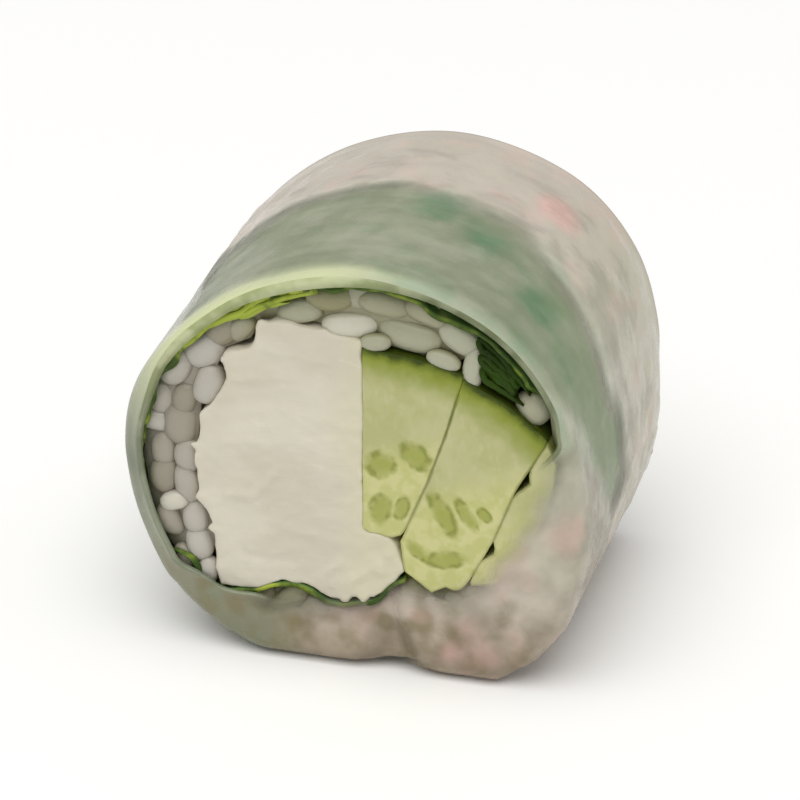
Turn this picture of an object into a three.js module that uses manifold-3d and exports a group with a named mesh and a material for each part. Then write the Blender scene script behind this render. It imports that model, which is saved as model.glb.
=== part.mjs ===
// A slice of rice paper roll, lying on its side: wet rice paper wrapped round a lettuce leaf,
// rice, a block of cream cheese and three sticks of cucumber. Millimetres, +Z up.
// The cut face looks along -Y. The origin is under the middle of the slice, on the surface
// that it lies on, and X runs across the cut face.

import * as THREE from 'three';
import { mergeVertices } from 'three/addons/utils/BufferGeometryUtils.js';
import Module from 'manifold-3d';

const wasm = await Module();
wasm.setup();

// ---------------------------------------------------------------- driving dimensions

const ROLL_WIDTH = 44.6;        // across the front cut, paper included, between its lumps
const ROLL_HEIGHT = 40.8;
const SLICE_LENGTH = 34.5;      // from the paper's front rim to its back rim
const BACK_SWELL = 0.022;       // how much wider the back cut is than the front one
const PAPER = 0.6;              // thickness of the wet rice paper
const PAPER_LUMP = 0.42;        // height of the lumps that the rice presses into it
const OVERLAP = 17;             // how far the sheet runs on under its own start
const LEAF = 0.6;               // thickness of the lettuce
const GAP = 0.3;                // clearance between pieces that touch
const LIP = 0.9;                // the paper's rims stand this far in front of the filling
const CURL_RADIUS = 2.4;        // bend of the paper where it folds over a cut face
const GRAIN_LENGTH = 6;
const GRAIN_WIDTH = 2.9;

const HALF = SLICE_LENGTH / 2;
const CUT = HALF - LIP;         // plane of the cut filling, either side of the middle
const CENTRE = new THREE.Vector2(0, ROLL_HEIGHT / 2);

// The roll's outer outline, seen from the front, anticlockwise from the seam underneath.
// It is sunk by FLAT_SINK and cut off at the floor, which gives it a flat to rest on.
const FLAT_SINK = 0.35;
const SECTION = [
  [5, 0], [13.6, 0.1], [19.4, 4.6], [22.3, 13.5], [22, 22.5], [19, 30.8], [12.8, 37.4],
  [2, 41.2], [-9, 38.8], [-17.2, 32.6], [-21.8, 25], [-21.9, 15.5], [-18.2, 6.6],
  [-11.6, 1.2], [-5, 0],
];

// How far the paper is drawn over a cut face, by place along the outline (0 to 1 from the
// seam): nothing at the top and the left, most at the lower right.
const FRONT_FOLD = [
  [0, 4.6], [0.07, 6.4], [0.12, 6.6], [0.17, 5], [0.2, 3.6], [0.23, 1.9], [0.27, 0.6], [0.305, 0],
  [0.8, 0], [0.86, 0.8], [0.93, 2.6], [1, 4.6],
];
const BACK_FOLD = [
  [0, 2.4], [0.1, 3.4], [0.2, 1.2], [0.28, 0], [0.86, 0], [0.93, 1.6], [1, 2.4],
];

// Where the leaf starts and ends along the roll, by place along the outline: on the right
// only a narrow tongue of it reaches down, and on the left it runs right through.
const LEAF_FRONT = [[0.17, -3], [0.215, -8], [0.25, -12.5], [0.285, -CUT], [1, -CUT]];
const LEAF_BACK = [
  [0.17, 1], [0.22, -0.6], [0.27, -3.6], [0.34, -2], [0.4, 1.6], [0.5, 3.4], [0.6, 3.6],
  [0.66, 6], [0.71, 12], [0.75, CUT], [1, CUT],
];

// ---------------------------------------------------------------- small helpers

// Seeded random numbers, so that every build is the same.
function randomFrom(seed) {
  let state = seed;
  return () => {
    state = (state + 0x6d2b79f5) | 0;
    let t = Math.imul(state ^ (state >>> 15), 1 | state);
    t = (t + Math.imul(t ^ (t >>> 7), 61 | t)) ^ t;
    return ((t ^ (t >>> 14)) >>> 0) / 4294967296;
  };
}

// Reads a value off a short list of [place, value], eased between its points.
function readOff(list, place) {
  if (place <= list[0][0]) return list[0][1];
  for (let i = 1; i < list.length; i += 1) {
    const [from, low] = list[i - 1];
    const [to, high] = list[i];
    if (place <= to) {
      const ease = THREE.MathUtils.smoothstep(place, from, to);
      return low + (high - low) * ease;
    }
  }
  return list[list.length - 1][1];
}

// A solid for joining and cutting, from any closed geometry.
function solidOf(geometry) {
  const bare = new THREE.BufferGeometry();
  bare.setAttribute('position', geometry.getAttribute('position'));
  bare.setIndex(geometry.getIndex());
  const merged = mergeVertices(bare, 1e-4);
  const vertProperties = Float32Array.from(merged.getAttribute('position').array);
  const triVerts = Uint32Array.from(merged.getIndex().array);
  return new wasm.Manifold(new wasm.Mesh({ numProp: 3, vertProperties, triVerts }));
}

function geometryOf(solid) {
  const mesh = solid.getMesh();
  const geometry = new THREE.BufferGeometry();
  geometry.setAttribute('position', new THREE.BufferAttribute(mesh.vertProperties, 3));
  geometry.setIndex(new THREE.BufferAttribute(mesh.triVerts, 1));
  geometry.computeVertexNormals();
  return geometry;
}

// Drops the loose scraps that cutting leaves, and keeps the main piece.
function mainPiece(solid) {
  const pieces = solid.decompose();
  pieces.sort((a, b) => b.volume() - a.volume());
  return pieces[0];
}

// A closed geometry from corners and triangles, turned so that its faces point out.
function closedGeometry(corners, triangles) {
  let volume = 0;
  for (const [a, b, c] of triangles) {
    volume += corners[a].dot(new THREE.Vector3().crossVectors(corners[b], corners[c]));
  }
  const outward = volume < 0 ? triangles.map(([a, b, c]) => [a, c, b]) : triangles;
  const geometry = new THREE.BufferGeometry().setFromPoints(corners);
  geometry.setIndex(outward.flat());
  return geometry;
}

// A thin sheet: pointAt(column, row, side) gives its outer (0) and inner (1) faces, which
// are split into triangles alike, and the four rims close it.
function sheetGeometry(columns, rows, pointAt) {
  const corners = [];
  for (let side = 0; side < 2; side += 1) {
    for (let i = 0; i <= columns; i += 1) {
      for (let j = 0; j <= rows; j += 1) corners.push(pointAt(i, j, side));
    }
  }
  const at = (i, j, side) => (side * (columns + 1) + i) * (rows + 1) + j;
  const triangles = [];
  const quad = (a, b, c, d) => triangles.push([a, b, c], [a, c, d]);
  for (let i = 0; i < columns; i += 1) {
    for (let j = 0; j < rows; j += 1) {
      quad(at(i, j, 0), at(i + 1, j, 0), at(i + 1, j + 1, 0), at(i, j + 1, 0));
      triangles.push([at(i, j, 1), at(i + 1, j + 1, 1), at(i + 1, j, 1)]);
      triangles.push([at(i, j, 1), at(i, j + 1, 1), at(i + 1, j + 1, 1)]);
    }
    quad(at(i, 0, 1), at(i + 1, 0, 1), at(i + 1, 0, 0), at(i, 0, 0));
    quad(at(i, rows, 0), at(i + 1, rows, 0), at(i + 1, rows, 1), at(i, rows, 1));
  }
  for (let j = 0; j < rows; j += 1) {
    quad(at(0, j, 0), at(0, j + 1, 0), at(0, j + 1, 1), at(0, j, 1));
    quad(at(columns, j, 1), at(columns, j + 1, 1), at(columns, j + 1, 0), at(columns, j, 0));
  }
  return closedGeometry(corners, triangles);
}

// ---------------------------------------------------------------- the roll's outline

const OUTLINE_STEPS = 480;

// Evenly spaced points of the outline, fitted to the roll's width and height.
function outlinePoints() {
  const spline = new THREE.CatmullRomCurve3(
    SECTION.map(([x, z]) => new THREE.Vector3(x, z, 0)), true, 'centripetal');
  spline.arcLengthDivisions = OUTLINE_STEPS * 4;
  const points = spline.getSpacedPoints(OUTLINE_STEPS);
  points.pop();
  for (const point of points) point.y = Math.max(0, point.y - FLAT_SINK);
  const box = new THREE.Box3().setFromPoints(points);
  const middle = (box.min.x + box.max.x) / 2;
  const acrossScale = ROLL_WIDTH / (box.max.x - box.min.x);
  const upScale = ROLL_HEIGHT / box.max.y;
  return points.map((p) => new THREE.Vector2((p.x - middle) * acrossScale, p.y * upScale));
}

const OUTLINE = outlinePoints();

function outlineAt(place) {
  const wrapped = (place - Math.floor(place)) * OUTLINE_STEPS;
  const index = Math.floor(wrapped) % OUTLINE_STEPS;
  const next = (index + 1) % OUTLINE_STEPS;
  return OUTLINE[index].clone().lerp(OUTLINE[next], wrapped - Math.floor(wrapped));
}

const PERIMETER = OUTLINE.reduce(
  (sum, point, i) => sum + point.distanceTo(OUTLINE[(i + 1) % OUTLINE_STEPS]), 0);

// The direction into the roll, square to the outline.
function inwardAt(place) {
  const reach = 6 / OUTLINE_STEPS;
  const along = outlineAt(place + reach).sub(outlineAt(place - reach)).normalize();
  return new THREE.Vector2(-along.y, along.x);
}

// A point under the outline: square to it at first, then towards the roll's middle, so
// that deep points never cross over each other in the tight lower corners.
const SQUARE_DEPTH = 1.6;
function under(place, depth) {
  const start = outlineAt(place);
  const towards = CENTRE.clone().sub(start).normalize();
  return start
    .add(inwardAt(place).multiplyScalar(Math.min(depth, SQUARE_DEPTH)))
    .add(towards.multiplyScalar(Math.max(0, depth - SQUARE_DEPTH)));
}

// Sets a point of the section at its place along the roll, which widens to the back.
function inRoll(point, y) {
  const swell = 1 + BACK_SWELL * THREE.MathUtils.smoothstep(y, -HALF, HALF);
  return new THREE.Vector3(point.x * swell, y, point.y * swell);
}

// Lumps of about a grain's size that the rice presses into what covers it.
function lump(place, y) {
  const around = place * PERIMETER;
  const wave = Math.sin(around * 0.52 + Math.sin(y * 0.31) * 1.3)
    * Math.cos(y * 0.47 + Math.sin(around * 0.23) * 1.7);
  return 0.5 + 0.5 * wave;
}

// ---------------------------------------------------------------- rice paper

const PAPER_COLUMNS = 50;
const TUCKED_LESS = 0.7;         // the layer under the overlap is drawn over the cut less
// Distances from the front and the back edge of the sheet at which it has its rows.
const FRONT_ROWS = [0, 1.3, 2.7, 4.3, 6.2, 8.6, 11.6];
const MIDDLE_ROWS = 4;
const BACK_ROWS = [5.4, 3.2, 1.4, 0];
const PAPER_ROWS = FRONT_ROWS.length + MIDDLE_ROWS + BACK_ROWS.length - 1;

// One end of the sheet, for a strip of it across the roll: how far it bends over the cut
// face, and how much of it lies on that face.
function foldOf(list, place) {
  const tucked = THREE.MathUtils.smoothstep(place, 0.94, 1);
  const reach = readOff(list, place % 1) * (1 - TUCKED_LESS * tucked);
  const bend = THREE.MathUtils.smoothstep(reach, 0, CURL_RADIUS) * Math.PI / 2;
  const flat = Math.max(0, reach - 0.4);
  const inset = CURL_RADIUS * Math.sin(bend) + flat * Math.cos(bend);
  return { bend, flat, inset, length: CURL_RADIUS * bend + flat };
}

// A point of the sheet at a distance from one of its ends, 'below' its outer surface:
// how far it is back from the cut plane, and its depth under the outline.
function alongStrip(fold, fromEnd, below) {
  const past = fold.length - fromEnd;
  if (past <= 0) return { back: fold.inset - past, depth: below };
  const angle = Math.min(past / CURL_RADIUS, fold.bend);
  const straight = Math.max(0, past - CURL_RADIUS * fold.bend);
  const radius = CURL_RADIUS - below;
  return {
    back: fold.inset - radius * Math.sin(angle) - straight * Math.cos(angle),
    depth: CURL_RADIUS - radius * Math.cos(angle) + straight * Math.sin(angle),
  };
}

// The sheet starts at the seam underneath, goes once round, and runs on under its start.
// 'spare' moves its edges out, for cutting its neighbours clear of it.
function paperPoint(column, row, below, spare) {
  const edge = (column === PAPER_COLUMNS ? spare : 0) - (column === 0 ? spare : 0);
  const place = (column / PAPER_COLUMNS) * (1 + OVERLAP / PERIMETER) + edge / PERIMETER;
  const dive = THREE.MathUtils.smoothstep(place, 0.962, 0.997) * (PAPER + GAP + 0.06);
  const front = foldOf(FRONT_FOLD, place);
  const back = foldOf(BACK_FOLD, place);
  const barrel = SLICE_LENGTH - front.inset - back.inset;
  const whole = front.length + barrel + back.length;
  const backStart = PAPER_ROWS - BACK_ROWS.length + 1;
  let fromFront;
  if (row < FRONT_ROWS.length) {
    fromFront = FRONT_ROWS[row] - (row === 0 ? spare : 0);
  } else if (row >= backStart) {
    fromFront = whole - BACK_ROWS[row - backStart] + (row === PAPER_ROWS ? spare : 0);
  } else {
    const share = (row - FRONT_ROWS.length + 1) / (MIDDLE_ROWS + 1);
    const from = FRONT_ROWS[FRONT_ROWS.length - 1];
    fromFront = from + (whole - BACK_ROWS[0] - from) * share;
  }
  const nearFront = fromFront < whole / 2;
  const fold = nearFront ? front : back;
  const strip = alongStrip(fold, nearFront ? fromFront : whole - fromFront, below + dive);
  const y = nearFront ? strip.back - HALF : HALF - strip.back;
  const open = THREE.MathUtils.smoothstep(strip.back, 0, CURL_RADIUS);
  const lying = THREE.MathUtils.smoothstep(outlineAt(place).y, 0.5, 6);
  const raised = PAPER_LUMP * lump(place, y) * open * lying;
  return inRoll(under(place, strip.depth - raised), y);
}

function paperGeometry(spare) {
  return sheetGeometry(PAPER_COLUMNS, PAPER_ROWS, (i, j, side) => (
    paperPoint(i, j, side === 0 ? -spare : PAPER + spare, spare)));
}

// ---------------------------------------------------------------- lettuce

const LEAF_DEPTH = PAPER + GAP + 0.25 + LEAF / 2;   // of the leaf's middle, under the outline
const LEAF_COLUMNS = 36;
const LEAF_ROWS = 9;
const LEAF_WAVE = 0.16;
const LEAF_LEFT = 0.8;           // where the leaf comes out from under the rice
const LEAF_RIGHT = 0.175;        // where its tongue ends
const OUTER_SHARE = 0.78;        // the share of the leaf that lies against the paper

// The stretch of leaf under the cheese, from its inner end to the lower left of the roll.
const INNER_LEAF = [[5.4, 8.4], [2.6, 6], [-0.8, 5.3], [-5, 6.6], [-9.6, 5.9], [-13.6, 5.4], [-17, 7.4]];

const leafCurve = new THREE.SplineCurve([
  ...INNER_LEAF.map(([x, z]) => new THREE.Vector2(x, z)),
  ...Array.from({ length: 25 }, (unused, i) => (
    under(LEAF_LEFT + (LEAF_RIGHT - LEAF_LEFT) * (i / 24), LEAF_DEPTH))),
]);
leafCurve.arcLengthDivisions = 800;

// The place along the outline of a point of the leaf, 1 for all of its inner stretch.
function leafPlace(share) {
  if (share < 1 - OUTER_SHARE) return 1;
  return LEAF_LEFT + (LEAF_RIGHT - LEAF_LEFT) * (share - 1 + OUTER_SHARE) / OUTER_SHARE;
}

// A point of a leaf's path, moved off it square to the path. Past either end, the path
// runs straight on.
function besidePath(curve, share, away) {
  const held = THREE.MathUtils.clamp(share, 0, 1);
  const along = curve.getTangentAt(held);
  const side = new THREE.Vector2(along.y, -along.x);
  return curve.getPointAt(held)
    .addScaledVector(along, (share - held) * curve.getLength())
    .addScaledVector(side, away);
}

function leafPoint(share, across, offset, spare) {
  const place = leafPlace(share);
  const frill = 0.7 * Math.sin(share * 61) + 0.5 * Math.sin(share * 97 + 1);
  const inner = place === 1 || place > 0.75;
  const from = readOff(LEAF_FRONT, place) + (place < 0.285 ? frill : 0) - spare;
  const to = readOff(LEAF_BACK, place) + (inner ? 0 : frill) + spare;
  const y = from + (to - from) * across;
  const wave = LEAF_WAVE * Math.sin(share * 74 + Math.sin(y * 0.35) * 2);
  return inRoll(besidePath(leafCurve, share, offset + wave), y);
}

// A positive offset is towards the inside of the roll, along the leaf's own path.
function leafGeometry(outside, inside, spare) {
  return sheetGeometry(LEAF_COLUMNS, LEAF_ROWS, (i, j, side) => {
    const edge = (i === LEAF_COLUMNS ? spare : 0) - (i === 0 ? spare : 0);
    const share = i / LEAF_COLUMNS + edge / leafCurve.getLength();
    return leafPoint(share, j / LEAF_ROWS, side === 0 ? -outside : inside, spare);
  });
}

// ---------------------------------------------------------------- the folded leaf edge

// A frill of the leaf that is folded into the rice at the upper right of the cut.
// Its path, by place along the outline and depth under it, doubles back on itself.
const FOLD_PATH = [
  [0.372, 2.6], [0.35, 2.6], [0.33, 2.7], [0.322, 3.2], [0.328, 3.9], [0.344, 4.3], [0.36, 4.4],
];
const FOLD_COLUMNS = 14;
const FOLD_ROWS = 6;
const FOLD_BACK = 0.5;
const FOLD_WAVE = 0.12;
const foldCurve = new THREE.SplineCurve(FOLD_PATH.map(([place, depth]) => under(place, depth)));

function foldedLeafGeometry(half, spare) {
  return sheetGeometry(FOLD_COLUMNS, FOLD_ROWS, (i, j, side) => {
    const edge = (i === FOLD_COLUMNS ? spare : 0) - (i === 0 ? spare : 0);
    const share = i / FOLD_COLUMNS;
    const from = -CUT - spare;
    const y = from + (FOLD_BACK + spare - from) * (j / FOLD_ROWS);
    const away = (side === 0 ? -half : half) + FOLD_WAVE * Math.sin(y * 0.9 + share * 9);
    return inRoll(besidePath(foldCurve, share + edge / foldCurve.getLength(), away), y);
  });
}

// ---------------------------------------------------------------- cheese and cucumber

const CHEESE_CORNERS = [
  [1.1, 34], [1.1, 24], [1.1, 14.2], [4, 13.6], [4.4, 10.9], [2.6, 8], [-2, 7.4], [-6.6, 8.2],
  [-12.4, 7.2], [-13.3, 13], [-15.2, 19.8], [-13.4, 25.6], [-11.9, 30.4], [-8.6, 34.2], [-3.6, 34.8],
];
const CUCUMBER_1 = [
  [1.6, 33.1], [6.6, 32.6], [10.5, 31.9], [8.9, 26], [6.9, 20.2], [4.4, 14.2], [1.6, 14.6],
];
const CUCUMBER_2 = [
  [11.2, 31], [15, 28.9], [18.6, 26.2], [15.7, 20.9], [13.5, 15.3], [10.8, 10.4], [7.8, 9.6],
  [5.4, 11], [5, 13.4], [7.5, 20], [9.5, 26],
];
const CUCUMBER_3 = [
  [18.5, 25], [19, 24.2], [19, 21.5], [18.2, 18], [16.6, 14.2], [13.6, 10.5],
  [11.9, 10.3], [14.1, 15.2], [15.6, 19.5], [17.3, 21.8],
];
const CHEESE_RAGGED = 0.4;      // how far its torn edge wanders
const FACE_BEVEL = 0.3;

function shapeOf(points) {
  return new THREE.Shape(points.map(([x, z]) => new THREE.Vector2(x, z)));
}

// A stick of filling that runs from cut to cut, with its edges rounded a little.
function stickGeometry(points, grow, reach) {
  const bevel = grow > 0 ? 0 : FACE_BEVEL;
  const geometry = new THREE.ExtrudeGeometry(shapeOf(points), {
    depth: 2 * reach - 2 * bevel,
    bevelEnabled: true,
    bevelThickness: grow > 0 ? 0.01 : bevel,
    bevelSize: grow > 0 ? grow : bevel,
    bevelOffset: grow > 0 ? 0 : -bevel,
    bevelSegments: 1,
  });
  geometry.translate(0, 0, -(reach - bevel));
  geometry.rotateX(Math.PI / 2);
  const { position } = geometry.attributes;
  geometry.setIndex(Array.from({ length: position.count }, (unused, i) => i));
  return geometry;
}

// The cheese's outline: straight where it meets the cucumber, torn everywhere else.
function cheeseOutline() {
  const random = randomFrom(11);
  const outline = [];
  CHEESE_CORNERS.forEach(([x, z], i) => {
    const [nextX, nextZ] = CHEESE_CORNERS[(i + 1) % CHEESE_CORNERS.length];
    outline.push([x, z]);
    if (i < 2) return;
    const torn = (random() - 0.5) * 2 * CHEESE_RAGGED;
    const length = Math.hypot(nextX - x, nextZ - z);
    const [sideX, sideZ] = [(nextZ - z) / length, (x - nextX) / length];
    outline.push([(x + nextX) / 2 + sideX * torn, (z + nextZ) / 2 + sideZ * torn]);
  });
  return outline;
}

// A low oval lump: [x, z, half length, half width, angle].
function ovalSolid([x, z, long, wide, turn], y, high) {
  const oval = new THREE.SphereGeometry(1, 6, 4);
  oval.scale(long, high, wide);
  oval.rotateY(turn);
  oval.translate(x, y, z);
  return solidOf(oval);
}

// Ridges where the knife has dragged the cheese, and the seeds in the cucumber.
const CHEESE_RIDGES = [[-6.6, 18.6, 3.2, 0.7, -0.5], [-10, 26.8, 2.6, 0.8, 0.3], [-4, 11.6, 3, 0.7, 0.1],
  [-2.8, 29.6, 2.4, 0.8, -0.2]];
const SEEDS_1 = [[3, 22, 1.2, 1, 0.4], [5.9, 23.2, 1.1, 0.9, 0], [3.1, 17.6, 1, 0.8, 0.3]];
const SEEDS_2 = [[9.2, 17.2, 1.9, 0.7, 1.1], [11.6, 16.6, 1.6, 0.6, 1.2], [9.4, 12.8, 1.3, 0.7, 0.3]];
const LUMP_PROUD = 0.3;

function fillingSolid(outline, lumps) {
  let solid = solidOf(stickGeometry(outline, 0, CUT));
  for (const lumpPlace of lumps) {
    solid = solid.add(ovalSolid(lumpPlace, -CUT, LUMP_PROUD));
    solid = solid.add(ovalSolid(lumpPlace, CUT, LUMP_PROUD));
  }
  return solid;
}

// ---------------------------------------------------------------- rice

const RICE_COLUMNS = 52;
const RICE_ROWS = 7;
const RICE_CUT = CUT - 0.9;      // the packed rice stands back, and whole grains stand out of it
const GRAINS_A_FACE = 46;
const ALL_TRIES = 6000;          // places tried for grains on a face, the first ones spaced wider
const WIDE_TRIES = 2500;

// The grains that stand out most in the front cut: [x, z, angle in degrees, size].
const MAIN_GRAINS = [
  [6.6, 35.2, -14, 1.15], [11.1, 35.1, -42, 1], [17.1, 27.9, -70, 0.9], [-14.6, 28.9, 60, 1.1],
  [-17, 23.2, 80, 1.05], [-17.4, 17.6, 100, 1], [-16.6, 12.2, 115, 0.95], [-2.4, 37.4, 8, 1],
  [-7.6, 36.4, 24, 1],
];

// The packed rice, a plain plug that fills the paper from cut to cut.
function riceCoreGeometry() {
  const corners = [];
  for (let row = 0; row <= RICE_ROWS; row += 1) {
    const y = -RICE_CUT + 2 * RICE_CUT * (row / RICE_ROWS);
    for (let column = 0; column < RICE_COLUMNS; column += 1) {
      const place = column / RICE_COLUMNS;
      const doubled = 1 - THREE.MathUtils.smoothstep(place, 0.115, 0.15)
        + THREE.MathUtils.smoothstep(place, 0.94, 0.975);
      const depth = PAPER + GAP + 0.25 + doubled * (PAPER + GAP) + 0.3 * (1 - lump(place, y));
      corners.push(inRoll(under(place, depth), y));
    }
  }
  const at = (row, column) => row * RICE_COLUMNS + (column % RICE_COLUMNS);
  const frontMiddle = corners.length;
  corners.push(new THREE.Vector3(CENTRE.x, -RICE_CUT, CENTRE.y));
  corners.push(new THREE.Vector3(CENTRE.x, RICE_CUT, CENTRE.y));
  const triangles = [];
  for (let column = 0; column < RICE_COLUMNS; column += 1) {
    for (let row = 0; row < RICE_ROWS; row += 1) {
      triangles.push([at(row, column), at(row, column + 1), at(row + 1, column + 1)]);
      triangles.push([at(row, column), at(row + 1, column + 1), at(row + 1, column)]);
    }
    triangles.push([frontMiddle, at(0, column + 1), at(0, column)]);
    triangles.push([frontMiddle + 1, at(RICE_ROWS, column), at(RICE_ROWS, column + 1)]);
  }
  return closedGeometry(corners, triangles);
}

function inside([x, z], outline) {
  let within = false;
  outline.forEach(([x1, z1], i) => {
    const [x2, z2] = outline[(i + 1) % outline.length];
    const crosses = (z1 > z) !== (z2 > z) && x < (x2 - x1) * (z - z1) / (z2 - z1) + x1;
    if (crosses) within = !within;
  });
  return within;
}

// A grain of rice: a stubby oval that lies nearly flat in the cut.
function grainSolid([x, z, degrees, size], side, random) {
  const grain = new THREE.SphereGeometry(1, 6, 4);
  grain.rotateZ(Math.PI / 2);
  grain.scale(GRAIN_LENGTH / 2 * size, GRAIN_WIDTH / 2, GRAIN_WIDTH / 2 * size);
  grain.rotateZ((random() - 0.5) * 0.5);
  grain.rotateY(-THREE.MathUtils.degToRad(degrees));
  grain.translate(x, side * (RICE_CUT - 0.35 + random() * 0.35), z);
  return solidOf(grain);
}

// Where grains show at a cut: between the paper, or its fold, and the filling, with each
// new one kept off those before it.
function grainPlaces(fold, side, fillings) {
  const random = randomFrom(side > 0 ? 5 : 3);
  const places = side < 0 ? [...MAIN_GRAINS] : [];
  for (let tries = 0; tries < ALL_TRIES && places.length < GRAINS_A_FACE; tries += 1) {
    const place = random();
    const reach = foldOf(fold, place);
    const cover = reach.flat > 0.2 ? CURL_RADIUS + reach.flat : PAPER + LEAF + 2 * GAP;
    const depth = cover + 1.2 + random() * 6;
    const { x, y: z } = under(place, depth);
    if (fillings.some((outline) => inside([x, z], outline))) continue;
    const spacing = tries < WIDE_TRIES ? 3.2 : 2.6;
    if (places.some(([px, pz]) => Math.hypot(px - x, pz - z) < spacing)) continue;
    const along = inwardAt(place);
    const degrees = THREE.MathUtils.radToDeg(Math.atan2(-along.x, along.y)) + (random() - 0.5) * 90;
    places.push([x, z, degrees, 0.75 + random() * 0.35]);
  }
  return places;
}

function riceSolid(fillings, cutters) {
  const random = randomFrom(21);
  let rice = solidOf(riceCoreGeometry());
  for (const [fold, side] of [[FRONT_FOLD, -1], [BACK_FOLD, 1]]) {
    for (const place of grainPlaces(fold, side, fillings)) {
      rice = rice.add(grainSolid(place, side, random));
    }
  }
  for (const cutter of cutters) rice = rice.subtract(cutter);
  return mainPiece(rice);
}

// ---------------------------------------------------------------- the slice

const MATERIALS = {
  paper: { color: 0xc9c4b0, roughness: 0.25 },
  lettuce: { color: 0x55762f, roughness: 0.5 },
  rice: { color: 0xb9ad9a, roughness: 0.45 },
  cheese: { color: 0xd8d0bd, roughness: 0.55 },
  cucumber: { color: 0xb7bb80, roughness: 0.35 },
};

function addPiece(group, name, geometry, finish) {
  const material = new THREE.MeshStandardMaterial({ ...MATERIALS[finish], metalness: 0 });
  const mesh = new THREE.Mesh(geometry, material);
  mesh.name = name;
  group.add(mesh);
}

function buildSlice() {
  const slice = new THREE.Group();
  const cheese = cheeseOutline();
  const fillings = [cheese, CUCUMBER_1, CUCUMBER_2, CUCUMBER_3];
  const cutters = [
    ...fillings.map((outline) => solidOf(stickGeometry(outline, GAP, HALF + 2))),
    solidOf(leafGeometry(LEAF / 2 + GAP + 0.6, LEAF / 2 + GAP, GAP)),
    solidOf(foldedLeafGeometry(LEAF / 2 + GAP, GAP)),
    solidOf(paperGeometry(GAP)),
  ];
  addPiece(slice, 'rice_paper', paperGeometry(0), 'paper');
  addPiece(slice, 'lettuce', leafGeometry(LEAF / 2, LEAF / 2, 0), 'lettuce');
  addPiece(slice, 'lettuce_fold', foldedLeafGeometry(LEAF / 2, 0), 'lettuce');
  addPiece(slice, 'rice', geometryOf(riceSolid(fillings, cutters)), 'rice');
  addPiece(slice, 'cream_cheese', geometryOf(fillingSolid(cheese, CHEESE_RIDGES)), 'cheese');
  addPiece(slice, 'cucumber_1', geometryOf(fillingSolid(CUCUMBER_1, SEEDS_1)), 'cucumber');
  addPiece(slice, 'cucumber_2', geometryOf(fillingSolid(CUCUMBER_2, SEEDS_2)), 'cucumber');
  addPiece(slice, 'cucumber_3', geometryOf(fillingSolid(CUCUMBER_3, [])), 'cucumber');
  return slice;
}

export default buildSlice();
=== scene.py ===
"""A slice of rice paper roll: wet rice paper round lettuce, rice, cream cheese and cucumber.

Shapes are worked out in millimetres, in the roll's own frame: the cut face looks along -Y, +X runs
across it to the right and +Z is up. Each finished mesh is scaled to metres once.
"""

import math
import random

import bmesh
import bpy
import numpy as np
from mathutils import Matrix, Vector, noise
from mathutils.kdtree import KDTree


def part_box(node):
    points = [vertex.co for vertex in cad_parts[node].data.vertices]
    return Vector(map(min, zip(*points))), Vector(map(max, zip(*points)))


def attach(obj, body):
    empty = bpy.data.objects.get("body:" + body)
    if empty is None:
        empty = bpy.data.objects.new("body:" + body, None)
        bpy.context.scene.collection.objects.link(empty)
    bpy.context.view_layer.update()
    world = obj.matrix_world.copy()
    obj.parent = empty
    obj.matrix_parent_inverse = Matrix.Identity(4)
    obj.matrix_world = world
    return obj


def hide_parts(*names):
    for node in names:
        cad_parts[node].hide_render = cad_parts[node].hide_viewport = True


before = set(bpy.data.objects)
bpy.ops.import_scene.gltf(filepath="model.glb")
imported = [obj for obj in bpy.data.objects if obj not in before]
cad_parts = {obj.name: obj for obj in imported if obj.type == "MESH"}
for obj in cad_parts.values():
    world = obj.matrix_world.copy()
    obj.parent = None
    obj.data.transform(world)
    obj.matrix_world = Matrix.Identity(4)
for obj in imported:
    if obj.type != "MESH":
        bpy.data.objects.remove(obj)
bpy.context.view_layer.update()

# ---------------------------------------------------------------- driving dimensions, in mm

MM = 0.001
ROLL_WIDTH = 44.6
ROLL_HEIGHT = 40.8
HALF = -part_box("rice_paper")[0].y / MM      # from the middle to the paper's front rim
CUT = -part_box("lettuce")[0].y / MM          # from the middle to the cut filling
BACK_SWELL = 0.022                          # how much wider the back cut is than the front one
PAPER = 0.6
PAPER_PROUD = 0.28                          # the lumps in the paper stand this far out
OVERLAP = 17.0                              # how far the sheet's end lies under its start
LEAF_THICKEST = 0.8
GAP = 0.3                                   # between the two layers of the overlap
CURL_RADIUS = 2.4                           # how tightly the paper bends over a cut
GRAIN_LENGTH = 5.6
GRAIN_WIDTH = 2.9
CENTRE = np.array([0.0, ROLL_HEIGHT / 2])
FLAT_SINK = 0.35                            # how much of the outline is pressed flat underneath
SEED = 7

# The roll's outer outline, seen from the front, anticlockwise from the seam underneath.
SECTION = [
    (5, 0), (13.6, 0.1), (19.4, 4.6), (22.3, 13.5), (22, 22.5), (19.4, 31.1), (13.3, 37.7),
    (2, 41.2), (-9, 38.9), (-17.6, 32.7), (-22.2, 25), (-22.2, 15.2), (-18.4, 6.4),
    (-11.6, 1.2), (-5, 0),
]

# How far the paper is drawn over each cut, by place along the outline (0 to 1 from the seam).
FRONT_FOLD = [
    (0, 7.8), (0.03, 9), (0.06, 9.2), (0.1, 9), (0.15, 7.6), (0.19, 5.6), (0.22, 3.8), (0.25, 2.1),
    (0.28, 0.9), (0.31, 0.4), (0.5, 0.4), (0.6, 0.8), (0.68, 1.3), (0.8, 1.5), (0.84, 2.2), (0.88, 4.2),
    (0.92, 5.4), (0.96, 5.6), (0.98, 6), (1, 7.8),
]
BACK_FOLD = [(0, 2.4), (0.1, 3.4), (0.2, 1.2), (0.28, 0), (0.86, 0), (0.93, 1.6), (1, 2.4)]

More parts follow.
